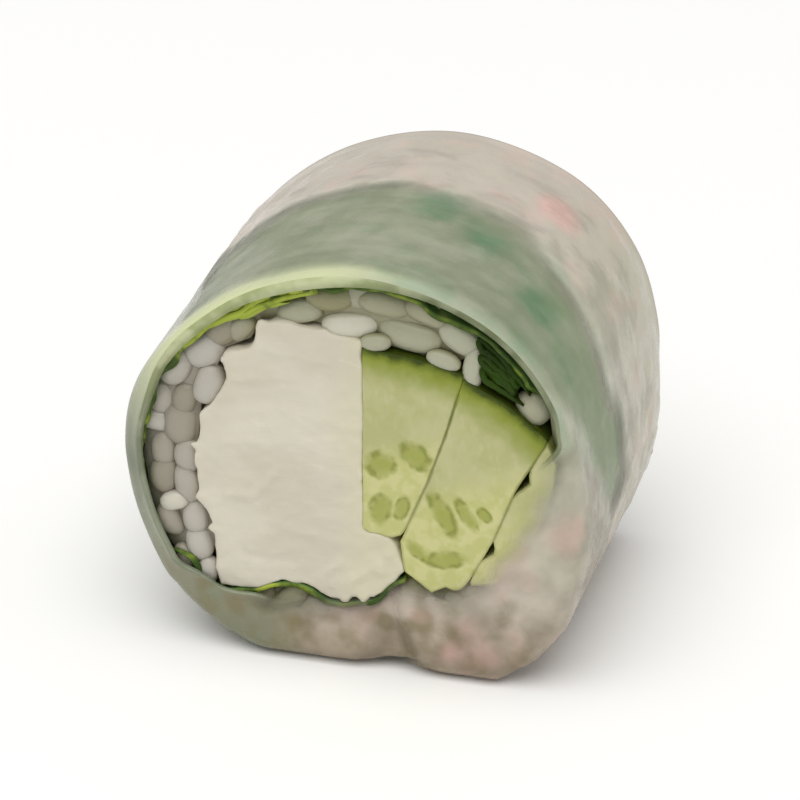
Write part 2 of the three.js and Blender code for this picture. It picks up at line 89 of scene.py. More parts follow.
# Where the leaf starts and ends along the roll, by place along the outline.
LEAF_FRONT = [(0.17, -3), (0.215, -8), (0.26, -11), (0.3, -14.5), (0.32, -CUT), (1, -CUT)]
LEAF_BACK = [
    (0.17, 1), (0.22, -0.6), (0.27, -3.6), (0.34, -2), (0.4, 1.6), (0.5, 3.4), (0.6, 3.6),
    (0.66, 6), (0.71, 12), (0.75, CUT), (1, CUT),
]


# ---------------------------------------------------------------- small helpers

def smooth(value, low, high):
    """Rises smoothly from 0 at low to 1 at high."""
    share = np.clip((np.asarray(value, float) - low) / (high - low), 0, 1)
    return share * share * (3 - 2 * share)


def fade(value, low, high):
    """Falls smoothly from 1 at low to 0 at high."""
    return 1 - smooth(value, low, high)


def between(value, start, full, fading, end):
    """Rises from 0 at start to 1 at full, and falls again from fading to 0 at end."""
    return smooth(value, start, full) * fade(value, fading, end)


def read_off(stops, place):
    """Values off a short list of (place, value), eased between its points."""
    places, values = np.array(stops, float).T
    index = np.clip(np.searchsorted(places, place, side="right") - 1, 0, len(places) - 2)
    share = np.clip((place - places[index]) / (places[index + 1] - places[index]), 0, 1)
    return values[index] + (values[index + 1] - values[index]) * share * share * (3 - 2 * share)


def ripple(points, size, seed=0):
    """Smooth noise from -1 to 1 at each point, with bumps of about that size."""
    offset = Vector((seed * 17.3, seed * 5.1, seed * 9.7))
    return np.array([noise.noise(Vector(point) / size + offset) for point in points])


def unit(vectors):
    return vectors / np.linalg.norm(vectors, axis=-1, keepdims=True)


def sides(outline):
    """The sides of a closed outline, each from corner to corner."""
    return zip(outline, [*outline[1:], outline[0]])


def length_round(corners):
    return np.linalg.norm(corners - np.roll(corners, -1, axis=0), axis=1).sum()


def on_line(at, places, line):
    """Points between those of a line, by their places along it."""
    return np.column_stack([np.interp(at, places, line[:, axis]) for axis in range(2)])


def resampled(points, count, closed=False):
    """The same line, as that many evenly spaced points."""
    line = np.vstack([points, points[:1]]) if closed else np.asarray(points, float)
    lengths = np.concatenate([[0], np.cumsum(np.linalg.norm(np.diff(line, axis=0), axis=1))])
    return on_line(np.linspace(0, lengths[-1], count, endpoint=not closed), lengths, line)


def moved_off(points, along, away):
    """Points of a line, moved square to its direction."""
    return points + np.column_stack([along[:, 1], -along[:, 0]]) * away[:, None]


def curved(start, end, leave, arrive, share):
    """Points of a curve from start to end, by how fast it leaves and arrives."""
    return (
        start
        + leave * share
        + (3 * (end - start) - 2 * leave - arrive) * share**2
        + (2 * (start - end) + leave + arrive) * share**3
    )


def shape_of(bm):
    return np.array([vert.co for vert in bm.verts])


def reshape(bm, points):
    for vert, point in zip(bm.verts, points):
        vert.co = point


def unit_grid(columns, rows):
    """A flat grid from (0, 0) to (1, 1)."""
    bm = bmesh.new()
    bmesh.ops.create_grid(bm, x_segments=columns, y_segments=rows, size=0.5)
    bmesh.ops.translate(bm, vec=(0.5, 0.5, 0), verts=bm.verts)
    return bm


def paint(bm, name, values):
    """Keeps a number at each corner, for the finish to read."""
    layer = bm.verts.layers.float.get(name) or bm.verts.layers.float.new(name)
    for vert, value in zip(bm.verts, values):
        vert[layer] = value


def weigh(bm, shares):
    """Keeps how thick a sheet is at each corner, as a share of its thickest."""
    weights = bm.verts.layers.deform.verify()
    for vert, share in zip(bm.verts, shares):
        vert[weights][0] = share


def extruded(bm, faces):
    """Extrudes faces, and gives their new corners to be moved."""
    made = bmesh.ops.extrude_face_region(bm, geom=faces)
    return [item for item in made["geom"] if isinstance(item, bmesh.types.BMVert)]


def mesh_of(name, bm):
    mesh = bpy.data.meshes.new(name)
    bm.to_mesh(mesh)
    bm.free()
    return mesh


def in_scene(name, data):
    """Puts a mesh, light or camera into the scene."""
    thing = bpy.data.objects.new(name, data)
    bpy.context.scene.collection.objects.link(thing)
    return thing


def made_piece(name, bm, finishes, slot, *nodes):
    """Turns a finished shape in mm into a piece that stands for those CAD nodes."""
    bmesh.ops.scale(bm, vec=(MM, MM, MM), verts=bm.verts)
    mesh = mesh_of(name, bm)
    mesh.shade_smooth()
    for finish in finishes:
        mesh.materials.append(finish)
    piece = in_scene(name, mesh)
    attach(piece, "root")
    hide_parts(*nodes)
    return piece


# ---------------------------------------------------------------- the roll's outline

CORNER_STEPS = 64
OUTLINE_STEPS = 480
SLOPE_STEPS = 6               # the outline's slope is taken over this many steps to either side
SQUARE_DEPTH = 1.6            # down to here, depth is measured square to the outline


def rounded(corners):
    """A closed centripetal spline through the corners."""
    before, after, beyond = (np.roll(corners, shift, axis=0) for shift in (1, -1, -2))
    first, second, third = (
        np.sqrt(np.linalg.norm(end - start, axis=1))[:, None]
        for start, end in ((before, corners), (corners, after), (after, beyond))
    )
    chord = (after - corners) / second
    leave = ((corners - before) / first - (after - before) / (first + second) + chord) * second
    arrive = (chord - (beyond - corners) / (second + third) + (beyond - after) / third) * second
    share = (np.arange(CORNER_STEPS) / CORNER_STEPS)[None, :, None]
    ends = (part[:, None, :] for part in (corners, after, leave, arrive))
    return curved(*ends, share).reshape(-1, 2)


def roll_outline():
    points = resampled(rounded(np.array(SECTION, float)), OUTLINE_STEPS, closed=True)
    points[:, 1] = np.maximum(0, points[:, 1] - FLAT_SINK)
    low, high = points.min(axis=0), points.max(axis=0)
    across = (points[:, 0] - (low[0] + high[0]) / 2) * ROLL_WIDTH / (high[0] - low[0])
    return np.column_stack([across, points[:, 1] * ROLL_HEIGHT / high[1]])


OUTLINE = roll_outline()
PERIMETER = length_round(OUTLINE)


def outline_at(place):
    wrapped = (np.asarray(place, float) % 1) * OUTLINE_STEPS
    index = np.floor(wrapped).astype(int) % OUTLINE_STEPS
    share = (wrapped - np.floor(wrapped))[..., None]
    return OUTLINE[index] * (1 - share) + OUTLINE[(index + 1) % OUTLINE_STEPS] * share


def inward_at(place):
    reach = SLOPE_STEPS / OUTLINE_STEPS
    along = unit(outline_at(place + reach) - outline_at(place - reach))
    return np.stack([-along[..., 1], along[..., 0]], axis=-1)


def under(place, depth):
    """Points under the outline: square to it at first, then towards the roll's middle."""
    start = outline_at(place)
    depth = np.asarray(depth, float)[..., None]
    return (
        start
        + inward_at(place) * np.minimum(depth, SQUARE_DEPTH)
        + unit(CENTRE - start) * np.maximum(0, depth - SQUARE_DEPTH)
    )


def in_roll(points, y):
    """Sets points of the section at their place along the roll, which widens to the back."""
    swell = 1 + BACK_SWELL * smooth(y, -HALF, HALF)
    return np.stack([points[..., 0] * swell, y * np.ones(len(points)), points[..., 1] * swell], axis=-1)


def leaf_reach(place):
    """Where the leaf under the paper starts and ends along the roll."""
    return read_off(LEAF_FRONT, place), read_off(LEAF_BACK, place)


def over_leaf(place, y):
    """1 where the leaf lies under the paper, 0 where the rice does."""
    leaf_from, leaf_to = leaf_reach(place % 1)
    along_roll = between(y, leaf_from - 2, leaf_from + 1, leaf_to - 1, leaf_to + 2)
    return along_roll * between(place, 0.17, 0.2, 0.79, 0.82)


# ---------------------------------------------------------------- the sheet of rice paper

TUCKED_LESS = 0.4             # the layer under the overlap is drawn over the cut less
LEAST_REACH = 0.4             # a rim that reaches less far than this over a cut doesn't lie on it
DIVE = PAPER + GAP + 0.06     # how far the sheet's end goes down under its start
EDGE_DIP = 0.45               # the sheet's start sinks into the layer that it lies on
RIM_SPARE = 0.15              # room for the rim's own thickness
LUMPS = 0.45                  # how deep the dents are where the sheet lies on a cut
PAPER_COLUMNS = 330
PAPER_ROWS = 92
PLEAT_WIDTH = 0.75
# Pleats where the sheet is drawn together under the filling: (x, top, bottom, depth).
PLEATS = [
    (3.2, 6.2, 1, 0.34), (5.6, 5, 1.6, 0.7), (7.4, 8.6, 3, 0.36), (10.2, 7.6, 4, 0.3),
    (-0.6, 5.2, 2.6, 0.26), (-5.2, 5, 0.8, 0.26),
]
# Soft spots of colour in the paper: (x, y, z, size, strength).
PINK_SPOTS = [
    (13.7, 8.4, 38, 2.8, 1), (8.2, 15.5, 40.4, 3, 0.45), (12.7, 15.3, 38.6, 2.6, 0.4),
    (21, -17.2, 17.2, 3, 0.6), (10, -17.2, 3.2, 1.7, 0.6), (13.6, -17, 3.1, 1.9, 0.55),
    (11.5, -17.2, 6.4, 1.8, 0.4),
]
GREEN_SPOTS = [
    (4.4, -0.2, 41, 3.4, 0.8), (9.7, -3.6, 39.9, 3, 0.7), (16.4, -7.9, 36, 3, 1),
    (22.3, -2.5, 21, 4, 0.4), (16.7, -14.7, 35.8, 2.2, 0.6), (19.6, -11, 32.2, 3, 0.6),
    (-14, -17, 5, 2.2, 0.7),
]


def fold_of(stops, place):
    """How one end of the sheet bends over a cut: its reach, angle, inset and length."""
    tucked = smooth(place, 1, 1.03)
    reach = read_off(stops, place % 1) * (1 - TUCKED_LESS * tucked)
    bend = smooth(reach, 0, CURL_RADIUS) * math.pi / 2
    flat = np.maximum(0, reach - LEAST_REACH)
    inset = CURL_RADIUS * np.sin(bend) + flat * np.cos(bend)
    return {"reach": reach, "bend": bend, "inset": inset, "length": CURL_RADIUS * bend + flat}


def along_strip(fold, from_end, below):
    """Distance back from the cut plane, and depth, of points of the sheet near one end."""
    past = fold["length"] - from_end
    angle = np.clip(past / CURL_RADIUS, 0, fold["bend"])
    straight = np.maximum(0, past - CURL_RADIUS * fold["bend"])
    radius = CURL_RADIUS - below
    bent_back = fold["inset"] - radius * np.sin(angle) - straight * np.cos(angle)
    bent_depth = CURL_RADIUS - radius * np.cos(angle) + straight * np.sin(angle)
    flat = past <= 0
    return np.where(flat, fold["inset"] - past, bent_back), np.where(flat, below, bent_depth)


def sheet_length(place):
    front = fold_of(FRONT_FOLD, place)
    back = fold_of(BACK_FOLD, place)
    return front["length"] + 2 * HALF - front["inset"] - back["inset"] + back["length"]


def sheet_point(place, from_front, below):
    """A point of the wrapped sheet, by its distance from the front edge and below its outside."""
    front = fold_of(FRONT_FOLD, place)
    back = fold_of(BACK_FOLD, place)
    whole = sheet_length(place)
    dive = smooth(place, 0.962, 0.997) * DIVE + EDGE_DIP * fade(place, 0, 0.03)
    near_front = from_front < whole / 2
    front_back, front_depth = along_strip(front, from_front, below + dive)
    back_back, back_depth = along_strip(back, whole - from_front, below + dive)
    y = np.where(near_front, front_back - HALF, HALF - back_back)
    depth = np.where(near_front, front_depth, back_depth)
    return in_roll(under(place, depth), y)


def curl_depth(place, y):
    """How deep the curled rim of the paper reaches at a distance along the roll."""
    fold = fold_of(FRONT_FOLD, place)
    past = np.clip((fold["inset"] - (np.asarray(y) + HALF)) / CURL_RADIUS, 0, 0.98)
    angle = np.minimum(np.arcsin(past), fold["bend"])
    return CURL_RADIUS * (1 - np.cos(angle))


def turn_over(stops, place, from_end):
    """How far the sheet has turned over a cut: 0 along the roll, 1 where it lies on the cut."""
    fold = fold_of(stops, place)
    return np.sin(np.clip((fold["length"] - from_end) / CURL_RADIUS, 0, fold["bend"])) ** 2


def pleats_at(points):
    """How deep each point lies in a pleat."""
    x, y, z = points.T
    depth = 0 * x
    for middle, top, bottom, deep in PLEATS:
        wander = middle + 0.35 * np.sin(z * 1.1 + middle)
        height = between(z, bottom - 1, bottom + 1, top, top + 1.4)
        depth = depth + deep * height * np.exp(-((x - wander) / PLEAT_WIDTH) ** 2)
    return depth


def spots_at(points, spots):
    """How strong a spot of colour is at each point, from 0 to 1."""
    strengths = [
        strength * np.exp(-(np.linalg.norm(points - np.array([x, y, z]), axis=1) / size) ** 2)
        for x, y, z, size, strength in spots
    ]
    return np.max(strengths, axis=0)


def paper_shape(grains):
    """The sheet's outside: it sags between the grains that it lies on."""
    bm = unit_grid(PAPER_COLUMNS, PAPER_ROWS)
    flat = shape_of(bm)
    place = flat[:, 0] * (1 + OVERLAP / PERIMETER)
    whole = sheet_length(place)
    from_front = flat[:, 1] * whole
    from_back = whole - from_front
    edge = np.minimum(from_front, from_back)
    even = sheet_point(place, from_front, 0 * place)
    y = even[:, 1]
    nearest = np.array([grains.find(Vector(point))[2] for point in even])
    beyond_leaf = 1 - over_leaf(place, y)
    turned = np.maximum(
        turn_over(FRONT_FOLD, place, from_front), turn_over(BACK_FOLD, place, from_back))
    broad = 0.5 + 0.5 * ripple(even, 7, 1)
    fine = 0.5 + 0.5 * ripple(even * (0.45, 1.6, 0.45), 2.2, 2)
    lumps = 0.5 + 0.5 * ripple(even, 2.4, 19)
    pleats = pleats_at(even) * turned
    sag = np.clip((nearest - GRAIN_DEPTH - 0.05) * 0.4, 0, 0.22) * beyond_leaf
    sag = sag + (1 - beyond_leaf) * (0.2 * broad + 0.1 * fine) + 0.08 * broad
    sag = sag + turned * LUMPS * lumps + pleats
    standing = smooth(outline_at(place)[:, 1], 0.5, 6) * smooth(edge, 0, 3) * (1 - turned)
    below = sag * smooth(edge, -1, 1.5) - PAPER_PROUD * standing
    lying = smooth(outline_at(place)[:, 1], 0.05, 1.5)
    sheet = sheet_point(place, from_front, below * np.maximum(lying, smooth(3 - from_front, 0, 2)))
    sheet[:, 1] = np.clip(sheet[:, 1], -HALF + RIM_SPARE, HALF - RIM_SPARE)
    reshape(bm, sheet)
    # Painted shade in the pleats, and in the hollows where the paper lies on the cut.
    hollows = turned * smooth(0.5 - lumps, 0, 0.3) * fade(even[:, 2], 7, 12)
    paint(bm, "crease_shade", pleats + 0.45 * hollows)
    paint(bm, "pink", spots_at(sheet, PINK_SPOTS))
    paint(bm, "green", spots_at(sheet, GREEN_SPOTS))
    paint_zones(bm, place, y, from_front, from_back)
    bm.normal_update()
    top = max(bm.faces, key=lambda face: face.calc_center_median().z)
    if top.normal.z < 0:
        bmesh.ops.reverse_faces(bm, faces=bm.faces)
    return bm


def paint_zones(bm, place, y, from_front, from_back):
    """Marks where the paper is thin or milky, which colours it takes where, and where shade is painted on
    it.
    """
    beyond_leaf = 1 - over_leaf(place, y)
    front_reach = fold_of(FRONT_FOLD, place)["reach"]
    back_reach = fold_of(BACK_FOLD, place)["reach"]
    on_left = between(place, 0.58, 0.68, 0.84, 0.9)
    thin_front = 1 - smooth(front_reach, 0.7, 2) * fade(from_front, 0, 3.4) * (1 - on_left)
    thin_back = 1 - smooth(back_reach, 0.9, 2.4) * fade(from_back, 0, 3)
    thinner_right = between(place, 0.18, 0.24, 0.34, 0.42)
    milky = 1 + beyond_leaf * (1.05 + 0.6 * smooth(y, 0, 5)) - 0.25 * thinner_right + smooth(y, 11, 16.5)
    # The lower left at the front, kept free of blush for the shade painted there.
    low_left = between(place, 0.76, 0.8, 0.9, 0.935) * fade(y, -6, 2)
    blush = beyond_leaf * np.maximum(smooth(y, -2, 4), smooth(front_reach, 1, 5))
    over_top = between(place, 0.4, 0.5, 0.6, 0.74)
    paint(bm, "veil", thin_front * thin_back * smooth(place, 0, 0.02) * milky)
    paint(bm, "near_rim", fade(from_front, 1, 2.8) * fade(front_reach, 0.7, 2))
    paint(bm, "blush", blush * (1 - low_left))
    paint(bm, "mint", over_top * fade(from_front, 0.5, 4))
    # Painted shade on the left of the paper's front half, where less light reaches it, over the dark leaf
    # beneath; the film is also thicker there.
    paint(bm, "shade", between(place, 0.61, 0.73, 0.9, 0.94) * fade(y, 6, 13))
    paint(bm, "on_leaf", 1 - beyond_leaf)
    paint(bm, "flank", between(place, 0.12, 0.2, 0.3, 0.4))
    weigh(bm, 0.5 + 0.5 * over_top * fade(from_front, 0, 2))


# ---------------------------------------------------------------- lettuce

LEAF_DEPTH = PAPER + 0.4
LEAF_LEFT = 0.8
LEAF_RIGHT = 0.175
OUTER_SHARE = 0.79
INNER_LEAF = [
    (5.4, 9.6), (4.3, 8.8), (3, 7.2), (1.6, 6.4), (-0.4, 6), (-2.4, 6.1), (-4.4, 7.2), (-6.7, 7.4),
    (-9.4, 6.3), (-12.8, 5.6), (-14.8, 5.9), (-16.1, 7.1), (-17.6, 8.7),
]
LEAF_LENGTH = 112             # about how far the leaf goes round, for the size of its ruffles
LEAF_COLUMNS = 300
LEAF_ROWS = 60
LEAF_LINE_STEPS = 900
UNDER_PAPER_STEPS = 25
# How bright the leaf's cut edge is, by place along the outline, and from 1 on under the cheese.
LEAF_BRIGHT = [
    (0.17, 0.2), (0.3, 0.02), (0.38, 0.02), (0.42, 0.2), (0.45, 0.02), (0.5, 0.1), (0.55, 0.95),
    (0.6, 0.45), (0.63, 0.02), (0.67, 0.15), (0.69, 0.55), (0.72, 0.02), (0.79, 0.1), (0.8, 0.5),
    (1, 0.6), (1.012, 0.1), (1.028, 0.1), (1.036, 0.8), (1.044, 0.1), (1.105, 0.05),
]

# A frill of leaf packed into the rice at the upper right: its highest and its lowest layer in the
# cut, from left to right, and how many layers it is folded into.
FRILL_TOP = [(12, 35.5), (14.3, 33.8), (16.2, 31.7), (17.5, 30)]
FRILL_BOTTOM = [(12.5, 31.9), (13.8, 31), (15.4, 30.1), (16.9, 29.3)]
FRILL_LAYERS = 6
# Another, which belongs to the main leaf at the top left, doubled back on itself.
TOP_FOLD_PATH = [
    (-11.6, 35.2), (-9.6, 36.6), (-7, 37.8), (-4.4, 38.5), (-3, 38.5), (-4.4, 38), (-6.8, 37.2),
    (-9, 36), (-10.4, 35), (-9.2, 35.5), (-7, 36.7), (-5.6, 37.1),
]
FOLD_COLUMNS = 300
FOLD_ROWS = 44
FOLD_BACK = 0.5               # how far back along the roll each frill ends
TOP_FOLD_BACK = -9.0
FRILL_STEPS = 100
SPLINE_STEPS = 24


def open_spline(points):
    """A smooth open line through the points."""
    points = np.array(points, float)
    ends = np.vstack([points[:1], points, points[-1:]])
    share = (np.arange(SPLINE_STEPS) / SPLINE_STEPS)[:, None]
    line = [
        curved(start, end, (end - before) / 2, (beyond - start) / 2, share)
        for before, start, end, beyond in zip(ends, ends[1:], ends[2:], ends[3:])
    ]
    return np.vstack([*line, points[-1:]])


def beside(line, share, away):
    """Points of a line by share of its length, moved off it square to it."""
    at = np.linspace(0, 1, len(line))
    along = unit(on_line(share, at, np.gradient(line, axis=0)))
    return moved_off(on_line(share, at, line), along, away)


def leaf_line():
    places = np.linspace(LEAF_LEFT, LEAF_RIGHT, UNDER_PAPER_STEPS)
    outer = under(places, np.full(UNDER_PAPER_STEPS, LEAF_DEPTH))
    return resampled(open_spline([*INNER_LEAF, *outer]), LEAF_LINE_STEPS)


def leaf_shape():
    """The main leaf, from under the cheese round the left and the top to the right side."""
    bm = unit_grid(LEAF_COLUMNS, LEAF_ROWS)
    flat = shape_of(bm)
    share, across = flat[:, 0], flat[:, 1]
    place = LEAF_LEFT + (LEAF_RIGHT - LEAF_LEFT) * (share - 1 + OUTER_SHARE) / OUTER_SHARE
    inner = share < 1 - OUTER_SHARE
    place = np.where(inner, 1.0, place)
    frill_at = np.column_stack([share * LEAF_LENGTH, 0 * share, 0 * share])
    frill = 1.3 * ripple(frill_at, 4.2, 3) + 0.7 * ripple(frill_at, 1.6, 4)
    start, end = leaf_reach(place)
    start = start + np.where(place < 0.285, frill, 0)
    end = end + np.where(inner | (place > 0.75), 0, frill)
    y = start + (end - start) * across
    flat_leaf = np.column_stack([share * LEAF_LENGTH, y, 0 * y])
    broad = ripple(flat_leaf, 6, 5)
    ruffle = ripple(flat_leaf * (1.0, 0.35, 1.0), 2.1, 6)
    near_cut = fade(y, -CUT, -CUT + 5)
    at_edge = fade(y, -CUT, -CUT + 2.4)
    edge_wave = smooth(ripple(frill_at, 3.4, 7), -0.1, 0.6)
    away = 0.08 + 0.1 * broad + 0.14 * (0.5 + 0.5 * ruffle) + near_cut * (0.2 + 0.2 * ruffle)
    away = away + np.where(inner, 0, at_edge * (0.15 + 0.65 * edge_wave))
    dip = np.where(inner, 0, curl_depth(np.where(inner, 0.75, place), y))
    reshape(bm, in_roll(beside(leaf_line(), share, away + 0.9 * dip), y))
    margin = np.minimum(np.where(start < -CUT + 0.5, 6, y - start), end - y)
    paint(bm, "margin", np.where(inner, 3.0, np.minimum(margin, 6)))
    broad_edge = at_edge * between(place, 0.48, 0.53, 0.6, 0.64)
    weigh(bm, 0.5 + 0.15 * edge_wave + 0.35 * np.where(inner, 0, broad_edge))
    around = np.where(inner, 1 + 0.5 * (1 - OUTER_SHARE - share), place)
    paint(bm, "bright", read_off(LEAF_BRIGHT, around))
    return bm


def frill_path():
    """The frill in the cut: it doubles back on itself, each layer uneven in length and height."""
    rng = random.Random(SEED)
    top = resampled(open_spline(FRILL_TOP), FRILL_STEPS)
    bottom = resampled(open_spline(FRILL_BOTTOM), FRILL_STEPS)
    path = []
    for layer in range(FRILL_LAYERS):
        outermost = layer in (0, FRILL_LAYERS - 1)
        left = rng.uniform(0, 14)
        right = 90 if outermost else rng.uniform(50, 80)
        steps = [left + (right - left) * share for share in (0, 0.2, 0.4, 0.6, 0.8, 1)]
        for at in steps if layer % 2 else reversed(steps):
            lower = np.clip((layer + rng.uniform(-0.25, 0.25)) / (FRILL_LAYERS - 1), 0, 1)
            path.append(top[int(at)] * (1 - lower) + bottom[int(at)] * lower)
    return path


def fold_shape(path, back, seed, bright):
    """A frill of leaf, folded along that path in the cut and running back from it."""
    bm = unit_grid(FOLD_COLUMNS, FOLD_ROWS)
    flat = shape_of(bm)
    share = flat[:, 0]
    y = -CUT + (back + CUT) * flat[:, 1]
    line = resampled(open_spline(path), FOLD_COLUMNS)
    wavy = np.column_stack([share * 20, y * 0.5, 0 * y])
    away = 0.16 * ripple(wavy, 1.7, seed) + 0.08 * ripple(wavy, 0.7, seed + 1)
    jut = 0.35 * ripple(wavy * (1, 0, 0), 1.2, seed + 2) * fade(y, -CUT, -CUT + 3)
    reshape(bm, in_roll(beside(line, share, away), np.maximum(y + jut, -CUT - 0.1)))
    paint(bm, "margin", 0 * y + 5)
    paint(bm, "bright", 0 * y + bright)
    weigh(bm, 0.08 + 0.56 * smooth(np.minimum(share, 1 - share), 0, 0.07))
    return bm


def joined(bm, *others):
    """Adds other shapes to a shape."""
    mesh = bpy.data.meshes.new("part")
    for other in others:
        other.to_mesh(mesh)
        other.free()
        bm.from_mesh(mesh)
    bpy.data.meshes.remove(mesh)
    return bm


# ---------------------------------------------------------------- cheese and cucumber

CHEESE = [
    (1.3, 34), (1.3, 24), (1.3, 14.9), (3.4, 14.7), (4.5, 13.6), (5, 12), (5.1, 10.6),
    (3.8, 8.9), (2, 7.4), (0, 6.8), (-2.2, 6.7), (-4, 7.8), (-6.6, 8), (-9.2, 6.9),
    (-13.2, 6.3), (-13.4, 10.4), (-13.6, 13.2), (-14.9, 15.6), (-15.2, 19.8), (-14.7, 23),
    (-14.8, 24.6), (-13, 26.4), (-12, 28.6), (-12, 31), (-9.4, 32.2), (-9, 34.4), (-6.8, 35),
    (-3.6, 34.8), (-1.4, 34.2),
]
CUCUMBER_1 = [
    (1.25, 33.3), (6.6, 32.8), (10.85, 31.75), (9.36, 26), (7.38, 20.1), (5.1, 14.6),
    (3.8, 14.1), (1.25, 14.6),
]
CUCUMBER_2 = [
    (10.8, 31.4), (15, 29.2), (18.8, 26.3), (17.3, 23.3), (15.8, 20.5), (13.8, 15.2), (11.4, 10.4),
    (10.4, 9.3), (9.2, 9.7), (7.9, 8.9), (6.6, 9.9), (5.2, 10.8), (4.85, 13.8), (7.28, 20), (9.27, 26),
]
# The last stick meets the second one all along but for two three-sided gaps.
CUCUMBER_3 = [
    (18.7, 26), (19.7, 24.2), (19.5, 21.5), (18.6, 18), (17, 14.2), (14.2, 10.6), (11.4, 10.1),
    (12.4, 12.8), (14, 13.9), (13.7, 15.3), (14.7, 17.9), (15.6, 20.2), (17.1, 21.5),
    (16.95, 22.9), (17.9, 24.7),
]
CUCUMBER_STEP = 0.06          # the outer sticks end this far behind the middle one
# Everything in the middle of the roll, with the leaf that lies under it: what the rice goes round.
# The frill of leaf needs room too, but it ends halfway along the roll.
MIDDLE_TOP = [(-9, 34.6), (-3.6, 35), (1.2, 33.8), (6.8, 32.8), (10.9, 31.9)]
FRILL_ROOM = [(12, 32.2), (12.4, 35.4), (14.6, 34.6), (16.8, 32.6), (18.4, 30.2)]
MIDDLE_REST = [
    (18.9, 26.4), (19.6, 24.2), (19.5, 21.5),
    (18.6, 17.8), (17, 14), (14, 10.3), (8, 9), (5.4, 8.9), (3, 6.7), (-0.4, 5.5), (-2.4, 5.6),
    (-4.4, 6.7), (-6.7, 6.9), (-9.4, 5.8), (-12.8, 5.1), (-15, 5.4), (-16.8, 7), (-15, 7.8), (-13.6, 10.6),
    (-15.3, 20), (-14.8, 25), (-12.3, 31.2), (-9.6, 32.6),
]
MIDDLE_FRONT = [*MIDDLE_TOP, *FRILL_ROOM, *MIDDLE_REST]
MIDDLE_BACK = [*MIDDLE_TOP, (15.1, 29.7), *MIDDLE_REST]
# Ridges and furrows that the knife has left in the cheese: (x, z) from and to, and their height.
CHEESE_DRAGS = [
    ((-12, 16.6), (-9.4, 16.8), 0.28), ((-9.4, 16.8), (-7.4, 19.2), 0.26),
    ((-10.5, 10.4), (-5.5, 10.2), -0.16), ((-4, 23.8), (0.2, 24.2), -0.08),
    ((-11, 28.6), (-6.2, 29.4), 0.12), ((-8.6, 32.2), (-2.2, 31.4), 0.14),
    ((-6, 13.6), (0.6, 13), 0.1), ((-13.6, 21.6), (-9, 22.6), 0.1), ((0.4, 9.2), (3, 11.4), 0.18),
    ((-3.2, 8.8), (-1.2, 10.6), 0.14), ((-6.4, 26), (-1, 25.4), 0.08),
]
DRAG_WIDTH = 0.45
# Crumbs that the knife has pushed up at its edges: (x, z, size).
CHEESE_CRUMBS = [
    (3.7, 12.4, 0.7), (2.9, 10.6, 0.9), (3.3, 9.1, 0.5), (1.2, 7.2, 0.5), (-0.6, 6.9, 0.6), (-13, 8.4, 0.5),
    (-14.8, 15.8, 0.6), (-13.7, 12.6, 0.5), (-15.2, 21.2, 0.4), (-12, 30.4, 0.5), (-8.4, 34.6, 0.6),
    (-2.4, 34.5, 0.5), (0.9, 16, 0.45), (1, 27.6, 0.35), (-12.6, 26.4, 0.5), (-5.4, 7.8, 0.4),
]
CHEESE_FACE = 0.28
CHEESE_PROUD = 0.25           # the cheese stands at most this far out of the cut


def wandering(corners, spacing, away, size, seed):
    """A corner outline with its sides wandering a little, as cut or torn food has."""
    corners = np.array(corners, float)
    line = resampled(corners, int(length_round(corners) / spacing), closed=True)
    along = unit(np.roll(line, -1, axis=0) - np.roll(line, 1, axis=0))
    at = np.column_stack([line, np.full(len(line), seed)])
    off = ripple(at, size, seed) + 0.35 * ripple(at, size / 2.6, seed)
    return moved_off(line, along, away * off)


def stick(outline, half_length, rounding):
    """A stick of filling from cut to cut, with its outline and the size of its rounded edges."""
    bm = bmesh.new()
    face = bm.faces.new([bm.verts.new((x, -half_length, z)) for x, z in outline])
    bmesh.ops.translate(bm, vec=(0, 2 * half_length, 0), verts=extruded(bm, [face]))
    bmesh.ops.recalc_face_normals(bm, faces=bm.faces)
    rims = [
        edge for edge in bm.edges
        if edge.is_manifold and abs(edge.verts[0].co.y - edge.verts[1].co.y) < half_length
    ]
    bmesh.ops.bevel(
        bm, geom=rims, offset=rounding, offset_type="OFFSET", segments=2, profile=0.5,
        affect="EDGES", material=-1, clamp_overlap=True,
    )
    return bm


def remeshed(bm, voxel):
    """The same solid with small even faces all over."""
    mesh = mesh_of("rough", bm)
    rough = in_scene("rough", mesh)
    remesh = rough.modifiers.new("even", "REMESH")
    remesh.mode = "VOXEL"
    remesh.voxel_size = voxel
    even = bmesh.new()
    even.from_object(rough, bpy.context.evaluated_depsgraph_get())
    bpy.data.objects.remove(rough)
    bpy.data.meshes.remove(mesh)
    return even


def line_distance(points, start, end):
    """Distance of (x, z) points from a short line."""
    start, end = np.array(start), np.array(end)
    share = np.clip(((points - start) @ (end - start)) / ((end - start) @ (end - start)), 0, 1)
    return np.linalg.norm(points - start - share[:, None] * (end - start), axis=1)


